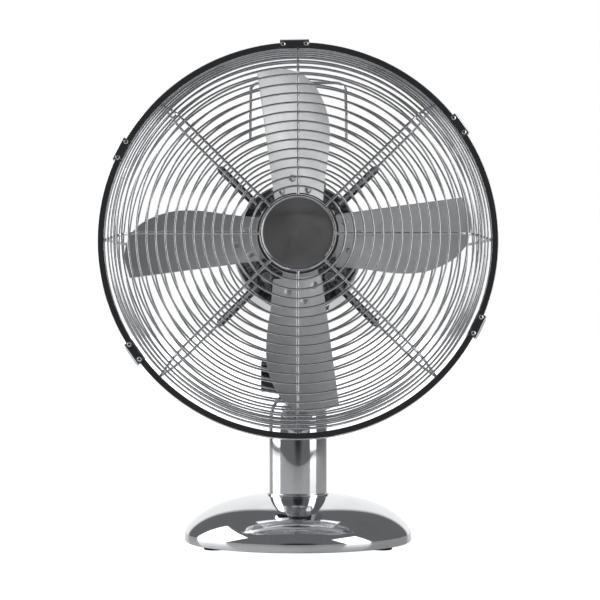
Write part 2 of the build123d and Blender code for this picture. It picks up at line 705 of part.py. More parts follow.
def motor_screws():
    """Two screws through the rear shell, and two that hold the swivel bracket under the rear bell."""
    y = MOTOR_FRONT + LUG_BACK
    cover_screw = along_x(1.68, 50.0, 58.5, y=y) + along_x(3.2, 58.05, 60.2, y=y)
    bracket_screw = upright(2.0, BRACKET_BOTTOM - 1.9, -42.2) + upright(3.8, BRACKET_BOTTOM - 2, BRACKET_BOTTOM - 0.02)
    screws = [turned(cover_screw, 90 * i) for i in (0, 2)]
    screws += [Pos(x, BRACKET_SCREW_Y, 0) * bracket_screw for x in (-BRACKET_SCREW_X, BRACKET_SCREW_X)]
    return Compound(screws)


def swivel_bracket():
    """Casting screwed under the motor, with the spindle that turns in the neck."""
    saddle = block(-13, 13, 62.5, REAR_BELL - 0.1, BRACKET_BOTTOM, -40)
    boss = upright(8.5, -66.4, BRACKET_BOTTOM + 2, 0, SWIVEL_BACK)
    spindle = upright(6.0, -90.5, -60, 0, SWIVEL_BACK)
    collar = upright(9.5, -71.9, -69.6, 0, SWIVEL_BACK)
    bracket = saddle + boss + spindle + collar - along_y(46.05, 50, 120)
    for x in (-BRACKET_SCREW_X, BRACKET_SCREW_X):
        bracket -= upright(2.02, -70, -40, x, BRACKET_SCREW_Y)
    return bracket


# ---------------------------------------------------------------- oscillation gears


def spur_profile(teeth, thin=0.86):
    """Outline of a spur gear: root circle with trapezoid teeth."""
    pitch = GEAR_MODULE * teeth / 2
    root, tip = pitch - 1.2 * GEAR_MODULE, pitch + 0.8 * GEAR_MODULE
    step = 2 * math.pi / teeth
    points = []
    for i in range(teeth):
        centre = i * step
        for radius, share in ((root, -0.33), (tip, -0.12), (tip, 0.12), (root, 0.33)):
            a = centre + share * thin * step
            points.append((radius * math.cos(a), radius * math.sin(a)))
    return make_face(Polyline(*points, close=True))


def worm_wheel():
    """Worm wheel, its hollow spindle and the pinion at the bottom, moulded as one."""
    half_face = 2.0
    lead = math.degrees(math.atan(GEAR_MODULE / (2 * WORM_PITCH_RADIUS)))
    shift = half_face * math.tan(math.radians(lead)) / (GEAR_MODULE * WORM_TEETH / 2)
    profile = spur_profile(WORM_TEETH, 0.8)
    gap = 180 / WORM_TEETH
    low = Pos(0, 0, -half_face) * Rot(0, 0, gap - math.degrees(shift)) * profile
    high = Pos(0, 0, half_face) * Rot(0, 0, gap + math.degrees(shift)) * profile
    wheel = loft([low, high], ruled=True)
    wheel += upright(3.5, GEAR_FLOOR - 3.3, 15.0) + upright(2.2, GEAR_FLOOR - 9.0, GEAR_FLOOR - 3.2)
    wheel += Pos(0, 0, GEAR_FLOOR - 8.6) * extrude(spur_profile(PINION_TEETH), 5.0)
    wheel += upright(5.4, -11.5, -2.0)
    wheel -= upright(1.8 + RUNNING, ROD_BOTTOM - 9, 40)
    return Pos(WHEEL_X, GEARBOX_Y, 0) * wheel


def crank_gear():
    """Crank gear on its post, with the crank pin below."""
    gear = Rot(0, 0, 180 / CRANK_TEETH) * extrude(spur_profile(CRANK_TEETH), 5.0)
    gear = Pos(0, 0, GEAR_FLOOR - 8.6) * gear
    gear -= upright(3.0 + RUNNING, -80, 0)
    gear += upright(2.2, GEAR_FLOOR - 10.2, GEAR_FLOOR - 8.5, CRANK_THROW, 0)
    return Pos(CRANK_X, GEARBOX_Y, 0) * gear


def gearbox_housing():
    """Cast gearbox behind the motor, with the stems that carry the spindle and the crank gear."""
    box = block(-13, WHEEL_X + 18, REAR_BELL + 3.1, 149.5, -14.5, 12)
    box -= block(-10.5, WHEEL_X + 15.6, REAR_BELL + 5.6, 147, -12, 12.1)
    box -= along_y(12.05, 100, 116)
    box += upright(7.5, GEAR_FLOOR, -12, WHEEL_X, GEARBOX_Y)
    box += upright(6.0, GEAR_FLOOR, -12, CRANK_X, GEARBOX_Y)
    box += block(CRANK_X, WHEEL_X, GEARBOX_Y - 5, GEARBOX_Y + 5, GEAR_FLOOR, -12)
    box -= upright(3.5 + RUNNING, -80, 0, WHEEL_X, GEARBOX_Y)
    box += upright(3.0, GEAR_FLOOR - 9.4, GEAR_FLOOR + 1, CRANK_X, GEARBOX_Y)
    return box


def gearbox_cover():
    """Lid of the gearbox, with the top bearing of the spindle."""
    lid = block(-13, WHEEL_X + 18, REAR_BELL + 3.1, 149.5, 12.05, 14.5)
    lid -= upright(3.5 + RUNNING, 0, 40, WHEEL_X, GEARBOX_Y)
    for x in (-8, WHEEL_X + 13):
        for y in (REAR_BELL + 8, 144):
            lid += upright(2.4, 14.4, 16.2, x, y)
    return lid


def oscillation_knob():
    """Push-pull knob on top of the shell, with the rod that works the clutch in the spindle."""
    knob = upright(7.5, 62, 74, WHEEL_X, GEARBOX_Y)
    knob = fillet(knob.edges().group_by(Axis.Z)[-1], 2.5)
    knob += upright(5.0, 52, 62.1, WHEEL_X, GEARBOX_Y)
    return knob + upright(1.8, ROD_BOTTOM, 53, WHEEL_X, GEARBOX_Y)


HEAD_PARTS = {
    "neck_bracket": neck_bracket,
    "swivel_bush": swivel_bush,
    "link_arm": link_arm,
    "front_guard_rings": lambda: guard_rings(-1),
    "front_guard_spokes": lambda: guard_spokes(-1),
    "front_guard_hub_plate": guard_hub_plate,
    "badge_rim": badge_rim,
    "badge_disc": badge_disc,
    "rear_guard_rings": lambda: guard_rings(1),
    "rear_guard_spokes": lambda: guard_spokes(1),
    "rear_mount_plate": rear_mount_plate,
    "guard_screws": guard_screws,
    "carry_handle": carry_handle,
    "trim_band": trim_band,
    "rim_lock": rim_lock,
    "clip_hinges": clip_hinges,
    "blade_spider": blade_spider,
    "hub_set_screw": hub_set_screw,
    "blade_rivets": blade_rivets,
    "rotor_shaft": rotor_shaft,
    "rotor_core": rotor_core,
    "motor_front_bell": motor_front_bell,
    "motor_rear_bell": motor_rear_bell,
    "stator_core": stator_core,
    "stator_windings": stator_windings,
    "motor_bearings": motor_bearings,
    "motor_bolts": motor_bolts,
    "run_capacitor": run_capacitor,
    "motor_cover": motor_cover,
    "motor_screws": motor_screws,
    "swivel_bracket": swivel_bracket,
    "worm_wheel": worm_wheel,
    "crank_gear": crank_gear,
    "gearbox_housing": gearbox_housing,
    "gearbox_cover": gearbox_cover,
    "oscillation_knob": oscillation_knob,
}

BASE_PARTS = {
    "base_cover": base_cover,
    "base_plate": base_plate,
    "base_weight": base_weight,
    "rubber_feet": rubber_feet,
    "column_tube": column_tube,
    "column_socket": column_socket,
    "base_screws": base_screws,
    "tilt_yoke": tilt_yoke,
    "tilt_bolt": tilt_bolt,
    "tilt_knob": tilt_knob,
    "cable_gland": cable_gland,
    "rotary_switch": rotary_switch,
    "switch_bezel": switch_bezel,
    "speed_knob": speed_knob,
}


def main():
    """Builds every piece and writes one STEP for each."""
    os.makedirs("parts", exist_ok=True)
    for name, build in BASE_PARTS.items():
        export_step(build(), f"parts/{name}.step")
    for name, build in HEAD_PARTS.items():
        export_step(place_head(build()), f"parts/{name}.step")
    for index in range(BLADES):
        export_step(place_head(fan_blade(index)), f"parts/fan_blade_{index + 1}.step")
    for index, (angle, half) in enumerate(CLIPS):
        export_step(place_head(turned(rim_clip(half), angle - 90)), f"parts/rim_clip_{index + 1}.step")


main()
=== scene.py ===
import sys
import json
import logging
import math
from dataclasses import dataclass, field
from enum import Enum
from typing import Callable, Iterable, Sequence

import bmesh
import bpy
from mathutils import Matrix, Vector


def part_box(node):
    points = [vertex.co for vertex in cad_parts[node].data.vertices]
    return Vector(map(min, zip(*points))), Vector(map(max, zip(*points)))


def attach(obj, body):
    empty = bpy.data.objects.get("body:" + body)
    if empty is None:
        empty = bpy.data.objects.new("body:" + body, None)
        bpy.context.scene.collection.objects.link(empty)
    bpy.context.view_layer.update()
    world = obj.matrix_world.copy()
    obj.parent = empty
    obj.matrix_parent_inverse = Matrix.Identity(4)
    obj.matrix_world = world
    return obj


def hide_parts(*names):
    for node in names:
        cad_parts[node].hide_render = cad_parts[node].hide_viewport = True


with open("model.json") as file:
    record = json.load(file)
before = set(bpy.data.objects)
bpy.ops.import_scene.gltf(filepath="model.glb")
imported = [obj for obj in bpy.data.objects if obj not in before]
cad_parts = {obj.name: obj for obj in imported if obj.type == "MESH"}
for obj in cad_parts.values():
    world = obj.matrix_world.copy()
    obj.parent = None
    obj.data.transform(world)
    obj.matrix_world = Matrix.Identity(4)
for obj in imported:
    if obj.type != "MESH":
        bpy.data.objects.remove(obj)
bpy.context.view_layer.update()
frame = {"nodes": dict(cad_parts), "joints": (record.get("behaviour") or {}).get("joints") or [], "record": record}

MM = 0.001
NEARLY_STRAIGHT = 0.02
ON_AXIS = 1e-7
log = logging.getLogger("desk_fan")


# ---------------------------------------------------------------- frames


def joint(name: str) -> dict:
    """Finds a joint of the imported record.

    Args:
        name: the joint's name.

    Returns:
        The joint's own entry, with pos_m and axis.
    """
    return next(j for j in frame["joints"] if j["name"] == name)


def head_frame() -> Matrix:
    """Builds the head's own frame: origin on the rotor axis in the rim plane, +Y backwards, +Z up.

    Returns:
        The matrix from head coordinates to the row frame.
    """
    spin = joint("rotor_spin")
    back = Vector(spin["axis"]).normalized()
    right = Vector((1, 0, 0))
    up = right.cross(back)
    turn = Matrix((right, back, up)).transposed().to_4x4()
    return Matrix.Translation(spin["pos_m"]) @ turn


HEAD = head_frame()
ROW = Matrix.Identity(4)


def about_rotor(angle: float) -> Matrix:
    """Turns about the rotor axis in the head's frame.

    Args:
        angle: degrees, anticlockwise as seen from the front.

    Returns:
        The rotation matrix.
    """
    return Matrix.Rotation(math.radians(-angle), 4, "Y")


# ---------------------------------------------------------------- shapes


class Spin(Enum):
    """The axis that an outline is turned about."""

    UPRIGHT = "z"
    ROTOR = "y"
    CROSSWISE = "x"


def soften(points: Sequence[Sequence[float]], radius: float, closed: bool = False,
           steps: int = 6) -> list[Vector]:
    """Rounds the corners of a line.

    Args:
        points: the corners, in two or three dimensions.
        radius: the rounding radius, made smaller where a side is too short for it.
        closed: True if the last point joins the first.
        steps: the pieces in each rounding.

    Returns:
        The softened line's points.
    """
    corners = [Vector((*p, 0.0)) if len(p) == 2 else Vector(p) for p in points]
    count = len(corners)
    line = []
    for i, corner in enumerate(corners):
        if not closed and i in (0, count - 1):
            line.append(corner)
            continue
        before, after = corners[i - 1] - corner, corners[(i + 1) % count] - corner
        half = before.angle(after, math.pi) / 2
        if half > math.pi / 2 - NEARLY_STRAIGHT:
            line.append(corner)
            continue
        cut = min(radius / math.tan(half), 0.48 * before.length, 0.48 * after.length)
        start, end = corner + before.normalized() * cut, corner + after.normalized() * cut
        for k in range(steps + 1):
            t = k / steps
            line.append((1 - t) ** 2 * start + 2 * t * (1 - t) * corner + t ** 2 * end)
    return line


def piece(name: str, data: bpy.types.ID, place: Matrix = ROW) -> bpy.types.Object:
    """Puts a mesh or curve into the scene with its place baked in.

    Args:
        name: the piece's name.
        data: its mesh or curve.
        place: the matrix from its own frame to the row frame.

    Returns:
        The new object.
    """
    data.transform(place)
    made = bpy.data.objects.new(name, data)
    bpy.context.scene.collection.objects.link(made)
    return made


def smooth(mesh: bpy.types.Mesh, angle: float = 32.0) -> None:
    """Shades a mesh smooth, but keeps edges sharper than the angle, in degrees."""
    mesh.shade_smooth()
    mesh.set_sharp_from_angle(angle=math.radians(angle))


def turn_outline(bm: bmesh.types.BMesh, outline: Sequence[Vector], spin: Spin, segments: int = 96,
                 swell: Callable[[float, float, float], float] | None = None, at: Matrix = ROW) -> None:
    """Adds a turned solid to a mesh.

    Args:
        bm: the mesh it is added to.
        outline: a closed loop of (radius, height) points.
        spin: the axis it is turned about.
        segments: the steps round.
        swell: gives a new radius from the radius, the height and the angle, for ribs or lobes.
        at: where the solid goes.
    """
    columns = []
    for k in range(segments):
        a = 2 * math.pi * k / segments
        column = []
        for j, p in enumerate(outline):
            if p.x < ON_AXIS and k:
                column.append(columns[0][j])
                continue
            r = swell(p.x, p.y, a) if swell else p.x
            u, v = r * math.cos(a), r * math.sin(a)
            co = {Spin.UPRIGHT: (u, v, p.y), Spin.ROTOR: (u, p.y, v), Spin.CROSSWISE: (p.y, u, v)}[spin]
            column.append(bm.verts.new(at @ Vector(co)))
        columns.append(column)
    for k in range(segments):
        here, there = columns[k], columns[(k + 1) % segments]
        for j in range(len(outline)):
            n = (j + 1) % len(outline)
            ring = [here[j], here[n], there[n], there[j]]
            ring = [v for i, v in enumerate(ring) if v not in ring[:i]]
            if len(ring) > 2 and not bm.faces.get(ring):
                bm.faces.new(ring)


def turned(name: str, outline: Sequence[Sequence[float]], spin: Spin, place: Matrix = ROW,
           radius: float = 0.0, segments: int = 96, copies: Iterable[Matrix] = (ROW,), angle: float = 32.0,
           swell: Callable[[float, float, float], float] | None = None) -> bpy.types.Object:
    """Makes a turned piece, or several alike as one piece.

    Args:
        name: the piece's name.
        outline: corners of the section as (radius, height), in metres.
        spin: the axis it is turned about.
        place: from its own frame to the row frame.
        radius: how far the section's corners are rounded.
        segments: the steps round.
        copies: where each copy goes, in its own frame.
        angle: edges sharper than this stay crisp, in degrees.
        swell: see turn_outline.

    Returns:
        The new piece.
    """
    line = soften(outline, radius, closed=True, steps=4) if radius else [Vector((*p, 0.0)) for p in outline]
    line = [Vector((max(p.x, 0.0), p.y, 0.0)) for p in line]
    bm = bmesh.new()
    for at in copies:
        turn_outline(bm, line, spin, segments, swell, at)
    bmesh.ops.recalc_face_normals(bm, faces=bm.faces)
    mesh = bpy.data.meshes.new(name)
    bm.to_mesh(mesh)
    bm.free()
    smooth(mesh, angle)
    return piece(name, mesh, place)


def extruded(bm: bmesh.types.BMesh, outline: Sequence[Vector], half: float, at: Matrix = ROW) -> None:
    """Adds an outline in the (y, z) plane, stretched along X to both sides.

    Args:
        bm: the mesh it is added to.
        outline: a closed loop whose x and y stand for y and z.
        half: half the width along X.
        at: where it goes.
    """
    sides = [[bm.verts.new(at @ Vector((x, p.x, p.y))) for p in outline] for x in (-half, half)]
    bm.faces.new(sides[0])
    bm.faces.new(list(reversed(sides[1])))
    for i in range(len(outline)):
        n = (i + 1) % len(outline)
        bm.faces.new((sides[0][n], sides[0][i], sides[1][i], sides[1][n]))


def thick_line(path: Sequence[Vector], thickness: float) -> list[Vector]:
    """Gives a bent line in a plane a thickness.

    Args:
        path: the line's points.
        thickness: the sheet's thickness.

    Returns:
        A closed outline.
    """
    left, right = [], []
    for i, p in enumerate(path):
        along = (path[min(i + 1, len(path) - 1)] - path[max(i - 1, 0)]).normalized()
        side = Vector((-along.y, along.x, 0.0)) * thickness / 2
        left.append(p + side)
        right.append(p - side)
    return left + right[::-1]


def wires(name: str, paths: Sequence[Sequence[Vector]], radius: float, place: Matrix = ROW,
          closed: bool = False, sides: int = 4) -> bpy.types.Object:
    """Makes round wires as one piece.

    Args:
        name: the piece's name.
        paths: each wire's centre line.
        radius: the wire's radius.
        place: from the paths' frame to the row frame.
        closed: True if each wire closes on itself.
        sides: bevel resolution of the round section.

    Returns:
        The new piece.
    """
    curve = bpy.data.curves.new(name, "CURVE")
    curve.dimensions = "3D"
    curve.bevel_depth = radius
    curve.bevel_resolution = sides
    curve.use_fill_caps = not closed
    for path in paths:
        spline = curve.splines.new("POLY")
        spline.points.add(len(path) - 1)
        for point, p in zip(spline.points, path):
            point.co = (*p, 1.0)
        spline.use_cyclic_u = closed
        spline.use_smooth = True
    return piece(name, curve, place)


def hoop(radius: float, y: float, steps: int = 144) -> list[Vector]:
    """Points of a circle about the rotor axis."""
    turn = 2 * math.pi / steps
    return [Vector((radius * math.cos(turn * i), y, radius * math.sin(turn * i))) for i in range(steps)]


def finish_mesh(name: str, bm: bmesh.types.BMesh, place: Matrix = ROW,
                angle: float = 32.0) -> bpy.types.Object:
    """Turns a built mesh into a piece, with its normals outwards and its shading set.

    Args:
        name: the piece's name.
        bm: the mesh, which is freed.
        place: where the piece stands.
        angle: edges sharper than this stay crisp, in degrees.

    Returns:
        The piece.
    """
    bmesh.ops.recalc_face_normals(bm, faces=bm.faces)
    mesh = bpy.data.meshes.new(name)
    bm.to_mesh(mesh)
    bm.free()
    smooth(mesh, angle)
    return piece(name, mesh, place)


def bevelled(made: bpy.types.Object, width: float, segments: int = 3) -> None:
    """Rounds a piece's sharp edges.

    Args:
        made: the piece.
        width: the bevel's width, in metres.
        segments: how many steps it has.
    """
    bevel = made.modifiers.new("edges", "BEVEL")
    bevel.width = width
    bevel.segments = segments
    bevel.limit_method = "ANGLE"
    bevel.angle_limit = math.radians(35)
    bevel.harden_normals = True
    bevel.use_clamp_overlap = True


# ---------------------------------------------------------------- finishes


class Grain(Enum):
    """How a metal's surface was worked."""

    NONE = "none"
    ROLLED = "rolled"
    TURNED = "turned"
    CAST = "cast"
    LAMINATED = "laminated"


@dataclass(frozen=True)
class Finish:
    """A surface finish, with the sizes and strengths of its detail."""

    name: str
    colour: tuple[float, float, float]
    tint: tuple[float, float, float]
    metallic: float = 1.0
    rough: tuple[float, float] = (0.1, 0.2)
    mottle_scale: float = 60.0
    grain: Grain = Grain.NONE
    grain_scale: float = 400.0
    grain_depth: float = 0.1
    wear: float = 0.0
    wear_colour: tuple[float, float, float] = (0.7, 0.7, 0.7)
    dust: float = 0.05
    coat: float = 0.0
    anisotropic: float = 0.0


FINISHES = {f.name: f for f in (
    Finish("chrome", (0.80, 0.81, 0.83), (0.70, 0.71, 0.73), rough=(0.035, 0.085), mottle_scale=38,
           dust=0.02),
    Finish("wire_chrome", (0.74, 0.75, 0.77), (0.60, 0.61, 0.63), rough=(0.10, 0.20), mottle_scale=160,
           dust=0.02),
    Finish("blade", (0.66, 0.665, 0.67), (0.56, 0.565, 0.57), rough=(0.36, 0.47), mottle_scale=30,
           grain=Grain.ROLLED, grain_scale=900, grain_depth=0.16, anisotropic=0.35, dust=0.03),
    Finish("brushed", (0.56, 0.555, 0.55), (0.46, 0.455, 0.45), rough=(0.30, 0.42), mottle_scale=40,
           grain=Grain.TURNED, grain_scale=2600, grain_depth=0.22, anisotropic=0.6, dust=0.02),
    Finish("dark_steel", (0.030, 0.030, 0.033), (0.048, 0.048, 0.052), metallic=0.0, rough=(0.30, 0.44),
           mottle_scale=120, grain=Grain.CAST, grain_scale=1500, grain_depth=0.06, wear=0.5, dust=0.10,
           coat=0.2),
    Finish("zinc_steel", (0.62, 0.63, 0.64), (0.52, 0.52, 0.50), rough=(0.24, 0.40), mottle_scale=220,
           grain=Grain.CAST, grain_scale=2400, grain_depth=0.05, wear=0.2, dust=0.06),
    Finish("cast_alloy", (0.50, 0.51, 0.52), (0.40, 0.41, 0.42), rough=(0.42, 0.58), mottle_scale=140,
           grain=Grain.CAST, grain_scale=1300, grain_depth=0.22, wear=0.3, dust=0.08),
    Finish("core", (0.26, 0.26, 0.27), (0.16, 0.15, 0.15), rough=(0.42, 0.60), mottle_scale=180,
           grain=Grain.LAMINATED, grain_scale=5200, grain_depth=0.35, dust=0.05),
    Finish("copper", (0.62, 0.24, 0.10), (0.40, 0.13, 0.06), rough=(0.25, 0.40), mottle_scale=260,
           grain=Grain.TURNED, grain_scale=4200, grain_depth=0.5, dust=0.03, coat=0.6),
    Finish("bronze", (0.58, 0.40, 0.20), (0.42, 0.28, 0.14), rough=(0.36, 0.52), mottle_scale=300,
           grain=Grain.CAST, grain_scale=3800, grain_depth=0.10, dust=0.02),
    Finish("black_plastic", (0.018, 0.018, 0.019), (0.030, 0.030, 0.032), metallic=0.0, rough=(0.34, 0.46),
           mottle_scale=90, grain=Grain.CAST, grain_scale=2600, grain_depth=0.12, wear=0.35,
           wear_colour=(0.10, 0.10, 0.105), dust=0.12),
    Finish("gear_plastic", (0.80, 0.77, 0.68), (0.70, 0.66, 0.55), metallic=0.0, rough=(0.32, 0.42),
           mottle_scale=150, grain=Grain.CAST, grain_scale=2200, grain_depth=0.04, dust=0.04),
    Finish("capacitor", (0.78, 0.78, 0.75), (0.70, 0.69, 0.64), metallic=0.0, rough=(0.20, 0.30),
           mottle_scale=110, grain=Grain.CAST, grain_scale=1800, grain_depth=0.03, dust=0.06),
    Finish("rubber", (0.020, 0.020, 0.020), (0.040, 0.039, 0.038), metallic=0.0, rough=(0.62, 0.80),
           mottle_scale=200, grain=Grain.CAST, grain_scale=3200, grain_depth=0.18, dust=0.25),
    Finish("iron", (0.09, 0.088, 0.086), (0.15, 0.11, 0.085), metallic=0.7, rough=(0.55, 0.75),
           mottle_scale=160, grain=Grain.CAST, grain_scale=900, grain_depth=0.5, dust=0.10),
    Finish("marking", (0.86, 0.86, 0.84), (0.74, 0.74, 0.71), metallic=0.0, rough=(0.42, 0.55),
           mottle_scale=600, grain=Grain.CAST, grain_scale=5200, grain_depth=0.08, dust=0.05),
    Finish("floor", (0.93, 0.93, 0.93), (0.90, 0.90, 0.90), metallic=0.0, rough=(0.16, 0.22), mottle_scale=6,
           grain=Grain.CAST, grain_scale=60, grain_depth=0.01, dust=0.0),
)}


@dataclass
class Effects:
    """Shader node groups that several finishes share, built once."""

    groups: dict[str, bpy.types.ShaderNodeTree] = field(default_factory=dict)

    def start(self, name: str, inputs: dict[str, str], outputs: dict[str, str]) -> tuple:
        """Opens a new group.

        Args:
            name: the group's name.
            inputs: each input's name and socket type.
            outputs: each output's name and socket type.

        Returns:
            The tree, its input node and its output node.
        """
        tree = bpy.data.node_groups.new(name, "ShaderNodeTree")
        for label, kind in inputs.items():
            tree.interface.new_socket(label, in_out="INPUT", socket_type=kind)
        for label, kind in outputs.items():
            tree.interface.new_socket(label, in_out="OUTPUT", socket_type=kind)
        self.groups[name] = tree
        return tree, tree.nodes.new("NodeGroupInput"), tree.nodes.new("NodeGroupOutput")

    def math(self, tree: bpy.types.ShaderNodeTree, kind: str, a: object,
             b: object = 0.0) -> bpy.types.NodeSocket:
        """Adds a math node.

        Args:
            tree: the tree it goes in.
            kind: the operation.
            a: the first value or socket.
            b: the second value or socket.

        Returns:
            The result's socket.
        """
        node = tree.nodes.new("ShaderNodeMath")
        node.operation = kind
        for slot, value in zip(node.inputs, (a, b)):
            if isinstance(value, bpy.types.NodeSocket):
                tree.links.new(value, slot)
            else:
                slot.default_value = value
        return node.outputs[0]

    def noise(self, tree: bpy.types.ShaderNodeTree, vector: bpy.types.NodeSocket, scale: object,
              detail: float = 4.0) -> bpy.types.NodeSocket:
        """Adds a noise texture.

        Args:
            tree: the shader's tree.
            vector: where the noise is read.
            scale: its scale, as a number or a socket.
            detail: its octaves.

        Returns:
            The socket of its value.
        """
        node = tree.nodes.new("ShaderNodeTexNoise")
        node.inputs["Detail"].default_value = detail
        tree.links.new(vector, node.inputs["Vector"])
        if isinstance(scale, bpy.types.NodeSocket):
            tree.links.new(scale, node.inputs["Scale"])
        else:
            node.inputs["Scale"].default_value = scale
        return node.outputs["Fac"]

    def spread(self, tree: bpy.types.ShaderNodeTree, value: bpy.types.NodeSocket, low: object, high: object,
               start: float = 0.3, end: float = 0.7) -> bpy.types.NodeSocket:
        """Maps a value from start..end to low..high.

        Args:
            tree: the shader's tree.
            value: the value.
            low: the result at the start, as a number or a socket.
            high: the result at the end, as a number or a socket.
            start: the value that gives low.
            end: the value that gives high.

        Returns:
            The result's socket.
        """
        node = tree.nodes.new("ShaderNodeMapRange")
        tree.links.new(value, node.inputs["Value"])
        node.inputs["From Min"].default_value = start
        node.inputs["From Max"].default_value = end
        for label, limit in (("To Min", low), ("To Max", high)):
            if isinstance(limit, bpy.types.NodeSocket):
                tree.links.new(limit, node.inputs[label])
            else:
                node.inputs[label].default_value = limit
        return node.outputs["Result"]

    def mix(self, tree: bpy.types.ShaderNodeTree, share: bpy.types.NodeSocket, a: bpy.types.NodeSocket,
            b: object) -> bpy.types.NodeSocket:
        """Mixes two colours.

        Args:
            tree: the shader's tree.
            share: how much of the second colour shows.
            a: the first colour.
            b: the second colour, as a socket or as three numbers.

        Returns:
            The mixed colour's socket.
        """
        node = tree.nodes.new("ShaderNodeMix")
        node.data_type = "RGBA"
        tree.links.new(share, node.inputs[0])
        first, second = node.inputs[6], node.inputs[7]
        tree.links.new(a, first)
        if isinstance(b, bpy.types.NodeSocket):
            tree.links.new(b, second)
        else:
            second.default_value = (*b, 1.0)
        return node.outputs[2]

    def build(self) -> None:
        """Builds every group."""
        self.build_mottle()
        self.build_grains()
        self.build_wear()
        self.build_dust()

    def build_mottle(self) -> None:
        """Cloudy change of colour and roughness, with fine handling marks."""
        tree, given, out = self.start(
            "mottle",
            {"Vector": "NodeSocketVector", "Scale": "NodeSocketFloat", "Colour": "NodeSocketColor",
             "Tint": "NodeSocketColor", "Smooth": "NodeSocketFloat", "Rough": "NodeSocketFloat"},
            {"Colour": "NodeSocketColor", "Roughness": "NodeSocketFloat"})
        cloud = self.noise(tree, given.outputs["Vector"], given.outputs["Scale"], 5.0)
        finer = self.math(tree, "MULTIPLY", given.outputs["Scale"], 9.0)
        fine = self.noise(tree, given.outputs["Vector"], finer)
        both = self.math(tree, "ADD", self.math(tree, "MULTIPLY", cloud, 0.7),
                         self.math(tree, "MULTIPLY", fine, 0.3))
        share = self.spread(tree, both, 0.0, 1.0)
        colour = self.mix(tree, share, given.outputs["Colour"], given.outputs["Tint"])
        tree.links.new(colour, out.inputs["Colour"])
        rough = self.spread(tree, both, given.outputs["Smooth"], given.outputs["Rough"])
        tree.links.new(rough, out.inputs["Roughness"])

    def build_grains(self) -> None:
        """Rolled, turned, cast and laminated surface grain, each as a mask."""
        for grain in (Grain.ROLLED, Grain.TURNED, Grain.CAST, Grain.LAMINATED):
            tree, given, out = self.start(
                f"{grain.value}_grain", {"Vector": "NodeSocketVector", "Density": "NodeSocketFloat"},
                {"Mask": "NodeSocketFloat"})
            apart = tree.nodes.new("ShaderNodeSeparateXYZ")
            tree.links.new(given.outputs["Vector"], apart.inputs[0])
            x, y, z = apart.outputs
            if grain is Grain.TURNED:
                far = self.math(tree, "SQRT", self.math(tree, "ADD", self.math(tree, "MULTIPLY", x, x),
                                                        self.math(tree, "MULTIPLY", z, z)))
                safe = self.math(tree, "MAXIMUM", far, 1e-4)
                parts = (self.math(tree, "MULTIPLY", self.math(tree, "DIVIDE", x, safe), 0.0016),
                         self.math(tree, "MULTIPLY", self.math(tree, "DIVIDE", z, safe), 0.0016), far)
            elif grain is Grain.ROLLED:
                parts = (x, y, self.math(tree, "MULTIPLY", z, 0.03))
            elif grain is Grain.LAMINATED:
                parts = (self.math(tree, "MULTIPLY", x, 0.01), y, self.math(tree, "MULTIPLY", z, 0.01))
            else:
                parts = (x, y, z)
            whole = tree.nodes.new("ShaderNodeCombineXYZ")
            for part, slot in zip(parts, whole.inputs):
                tree.links.new(part, slot)
            value = self.noise(tree, whole.outputs[0], given.outputs["Density"], 3.0)
            tree.links.new(self.spread(tree, value, 0.0, 1.0, 0.25, 0.75), out.inputs["Mask"])

    def build_wear(self) -> None:
        """A mask for the edges that hands and cloths rub bright."""
        tree, given, out = self.start(
            "edge_wear", {"Vector": "NodeSocketVector", "Amount": "NodeSocketFloat"},
            {"Mask": "NodeSocketFloat"})
        shape = tree.nodes.new("ShaderNodeNewGeometry")
        ridge = self.spread(tree, shape.outputs["Pointiness"], 0.0, 1.0, 0.51, 0.60)
        patch = self.spread(tree, self.noise(tree, given.outputs["Vector"], 420.0), 0.0, 1.0, 0.42, 0.66)
        both = self.math(tree, "MULTIPLY", ridge, patch)
        both = self.math(tree, "MULTIPLY", both, given.outputs["Amount"])
        tree.links.new(both, out.inputs["Mask"])

    def build_dust(self) -> None:
        """A mask for dust that settles on what faces up."""
        tree, given, out = self.start(
            "settled_dust", {"Vector": "NodeSocketVector", "Amount": "NodeSocketFloat"},
            {"Mask": "NodeSocketFloat"})
        shape = tree.nodes.new("ShaderNodeNewGeometry")
        apart = tree.nodes.new("ShaderNodeSeparateXYZ")
        tree.links.new(shape.outputs["Normal"], apart.inputs[0])
        upward = self.spread(tree, apart.outputs[2], 0.0, 1.0, 0.2, 0.95)
        speck = self.noise(tree, given.outputs["Vector"], 1800.0, 6.0)
        speck = self.spread(tree, speck, 0.0, 1.0, 0.45, 0.75)
        both = self.math(tree, "MULTIPLY", upward, speck)
        both = self.math(tree, "MULTIPLY", both, given.outputs["Amount"])
        tree.links.new(both, out.inputs["Mask"])


